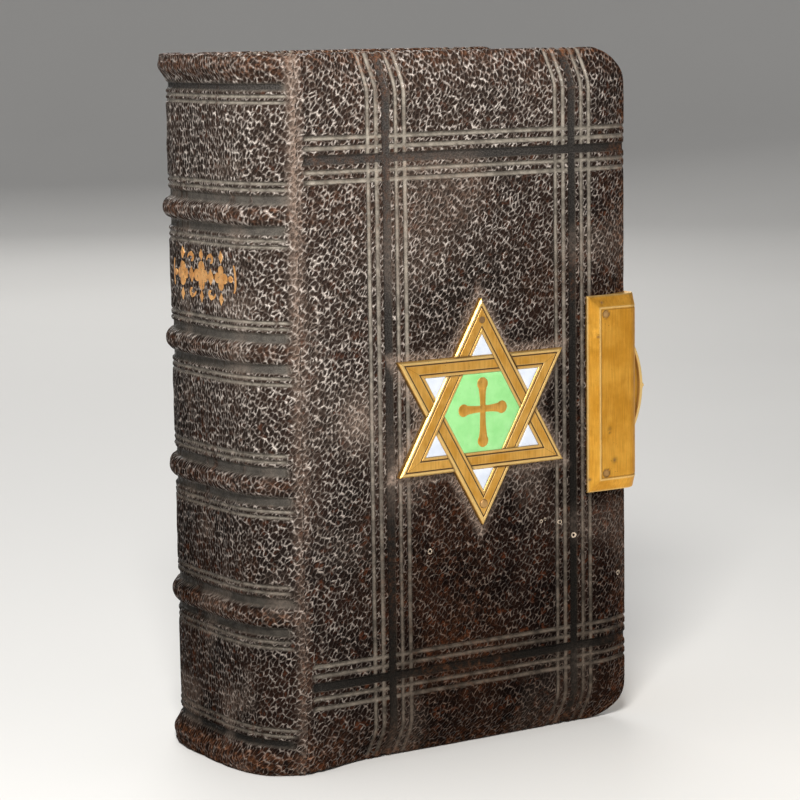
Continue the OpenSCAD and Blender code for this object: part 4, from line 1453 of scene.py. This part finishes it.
def sheet(node, low, high, y, thick, material, body, wave):
    """A thin sheet for a node, from low to high (x, z), with a gentle seeded wave, closed all round."""
    xs = np.concatenate([np.linspace(low[0], low[0] + 7, 15)[:-1], np.linspace(low[0] + 7, high[0], 22)])
    zs = np.linspace(low[1], high[1], 40)
    x, z = np.meshgrid(xs, zs)
    away = smooth(0, 12, x - low[0])
    shift = wave * away * lumps(x, z, 26, int(abs(y) * 1000) % 97)
    corner = 2.0
    curl_x = np.clip(x - high[0] + corner, 0, None)
    for edge_z, side in ((high[1], 1), (low[1], -1)):
        curl_z = np.clip(corner - np.abs(edge_z - z), 0, None)
        both = np.hypot(curl_x, curl_z)
        shrink = np.where((curl_x > 0) & (curl_z > 0), np.maximum(curl_x, curl_z) / np.maximum(both, 1e-6), 1)
        x = np.where(shrink < 1, high[0] - corner + curl_x * shrink, x)
        z = np.where(shrink < 1, edge_z - side * corner + side * curl_z * shrink, z)
    build = Build()
    front = np.stack([x, y - thick / 2 + shift, z], 2)
    rear = np.stack([x, y + thick / 2 + shift, z], 2)
    build.slab(front, rear)
    slot = frame["nodes"][node].data.materials[0].name.split(".")[0]
    build.finish(node + "_sheet", material, body, slot, [node], angle=50)


def loose_leaves():
    names = ["front_flyleaf", "front_leaf_1", "front_leaf_2", "front_leaf_3", "back_flyleaf", "back_leaf_1"]
    for name in names:
        low, high = mm_box(name)
        y = (low[1] + high[1]) / 2
        joint_y = y * MM
        body = ("text_block", name, (low[0] * MM, joint_y, 0), ((low[0] + 5) * MM, joint_y, 0))
        material = ENDPAPER if "fly" in name else PAPER
        sheet(name, (low[0], low[2]), (high[0], high[2]), y, 0.11, material, body, 0.05)
    for side, name, body in ((-1, "front_pastedown", "front_cover"), (1, "back_pastedown", "back_cover")):
        low, high = mm_box(name)
        sheet(name, (low[0], low[2] - 2.6), (high[0] + 2.6, high[2] + 2.6), side * (inner_y - 0.06), 0.12,
              ENDPAPER, hinge_bend(side, body), 0.0)


BOARD_INSET = 1.1       # how far a board lies inside its leather's outline


def boards():
    """Millboard cores that follow the covers' slopes, starting a little way from the joint."""
    for side, name, body in ((-1, "front_board", "front_cover"), (1, "back_board", "back_cover")):
        x, z = np.meshgrid(np.linspace(joint_x + 3.2, fore_x - BOARD_INSET, 40),
                           np.linspace(BOARD_INSET, book_h - BOARD_INSET, 60))
        x, z = corner_mapped(x, z, BOARD_INSET)
        y = half_t - leather_t - slope_drop(outline_distance(x, z), edge_depth(x, z)) - 0.4
        y = np.maximum(y, inner_y + 0.6)
        build = Build()
        rear = np.full_like(x, side * (inner_y + 0.52))
        build.slab(np.stack([x, side * y, z], 2), np.stack([x, rear, z], 2))
        build.finish(name + "_core", BOARD, body, "board", [name], angle=40)


def along_spine(u, lift, z):
    """Points at one height, raised by lift over the plain rounded back."""
    (x, y), (nx, ny) = spine_base(u, np.full_like(u, book_h / 2))
    return np.stack([x + nx * lift, y + ny * lift, np.full_like(u, z)], -1)


def rod(build, us, lift, level, sides, tall, radius):
    """A rod round the back, whose radius is a function of its place u and of the angle round it."""
    centre = along_spine(us, lift, level)
    normals = along_spine(us, lift + 1, level) - centre
    loops = []
    for u, point, normal in zip(us, centre, normals):
        loop = []
        for a in circle(sides):
            r = radius(u, a)
            loop.append(point + normal * r * math.cos(a) + np.array([0, 0, tall * r * math.sin(a)]))
        loops.append(loop)
    build.loft(loops)


def inner_spine():
    us = np.linspace(1.2, BACK_LENGTH - 1.2, 70)
    lining = Build()
    outer = np.array([along_spine(us, -1.02, z) for z in np.linspace(square, book_h - square, 30)])
    inner = np.array([along_spine(us, -1.75, z) for z in (square, book_h - square)])
    lining.panel(outer, inner)
    lining.finish("spine_lining_cloth", LINING, "text_block", "lining", ["spine_lining"], angle=50)

    def twisted(u, a):
        return 0.55 * (0.84 + 0.16 * abs(math.cos(a - u * 1.7)))

    def wrapped(u, a):
        return 0.68 + 0.07 * (0.5 + 0.5 * math.sin(2 * math.pi * u / 0.62))

    cords = Build()
    for level in BANDS:
        rod(cords, np.linspace(2.4, BACK_LENGTH - 2.4, 160), -0.45, level, 12, 1.55, twisted)
    cords.finish("band_cords_twist", CORD, "text_block", "cord", ["band_cords"], angle=60)
    us = np.linspace(3.4, BACK_LENGTH - 3.4, 330)
    wound = np.repeat(0.5 + 0.5 * np.sin(2 * math.pi * us / 3.1), 14)
    for name, level in (("headband", book_h - square + 0.75), ("tailband", square - 0.75)):
        silk = Build()
        rod(silk, us, -2.55, level, 14, 1.05, wrapped)
        silk.finish(name + "_silk", SILK, "text_block", "silk", [name], angle=70, wound=wound)


# ---------------------------------------------------------------- gilt ornament on the spine
ORNAMENT_Z = (BANDS[2] + BANDS[3]) / 2 + 0.6


def gilt_round(build, u, z, outline, size):
    """A pressed gold shape with a polar outline, laid over the spine leather."""
    angles = circle(48)
    loops = []
    for share, lift in ((1.0, -0.12), (1.0, 0.03), (0.94, 0.06), (0.6, 0.06), (0.25, 0.06), (0.04, 0.06)):
        reach = size * np.array([outline(a) for a in angles]) * share
        loops.append(list(spine_point(u + reach * np.cos(angles), z + reach * np.sin(angles), lift)))
    build.loft(loops)


def gilt_stroke(build, line, width):
    """A gold line along points (u, z), tapering to both ends."""
    line = np.array(line)
    along = np.gradient(line, axis=0)
    along = along / np.linalg.norm(along, axis=1)[:, None]
    across = np.stack([-along[:, 1], along[:, 0]], 1)
    share = np.linspace(0, 1, len(line))
    wide = width * (0.25 + 0.75 * np.sin(math.pi * share) ** 0.6)
    columns = []
    for q, lift in ((-1, -0.12), (-1, 0.03), (-0.7, 0.06), (0.7, 0.06), (1, 0.03), (1, -0.12)):
        at = line + across * (wide * q)[:, None]
        columns.append(spine_point(at[:, 0], at[:, 1], lift))
    build.loft([list(loop) for loop in zip(*columns)])


def ornament():
    """A row of quatrefoils, lozenges, scrolls and dots in place of lettering."""
    build = Build()
    middle = BACK_LENGTH / 2

    def quatrefoil(a):
        return 0.56 + 0.44 * abs(math.cos(2 * a)) ** 0.8

    def lozenge(a):
        return 1 / (abs(math.cos(a)) * 1.5 + abs(math.sin(a)))

    def dot(a):
        return 1.0

    z = ORNAMENT_Z
    for place in (-7.0, 0.0, 7.0):
        gilt_round(build, middle + place, z, quatrefoil, 2.6 if place == 0 else 2.2)
        for side in (-1, 1):
            gilt_round(build, middle + place, z + side * 3.7, lozenge, 1.15)
    for place in (-3.5, 3.5):
        gilt_round(build, middle + place, z, lozenge, 1.5)
        for side in (-1, 1):
            turns = np.linspace(0, 1.55 * math.pi, 22)
            curl = [(middle + place + side * (1.75 - 0.32 * t) * math.cos(t) * 0.8,
                     z + side * (2.9 + (1.05 - 0.15 * t) * math.sin(t))) for t in turns]
            gilt_stroke(build, curl, 0.34)
            gilt_round(build, middle + place, z - side * 3.7, dot, 0.45)
    for side in (-1, 1):
        gilt_round(build, middle + side * 10.0, z, dot, 0.6)
        turns = np.linspace(0.5, 2.6, 18)
        sweep = [(middle + side * (10.2 + 1.1 * math.sin(t)), z + 2.8 * math.cos(t)) for t in turns]
        gilt_stroke(build, sweep, 0.3)
    build.finish("spine_gilding", GOLD, "text_block", "leather", angle=50)


studio()
camera()
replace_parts(cover_skin("front_cover_skin", -1), "front_cover_leather")
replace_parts(cover_skin("back_cover_skin", 1), "back_cover_leather")
spine_skin()
star_piece()
enamels()
pins()
clasp()
sections()
loose_leaves()
boards()
inner_spine()
ornament()
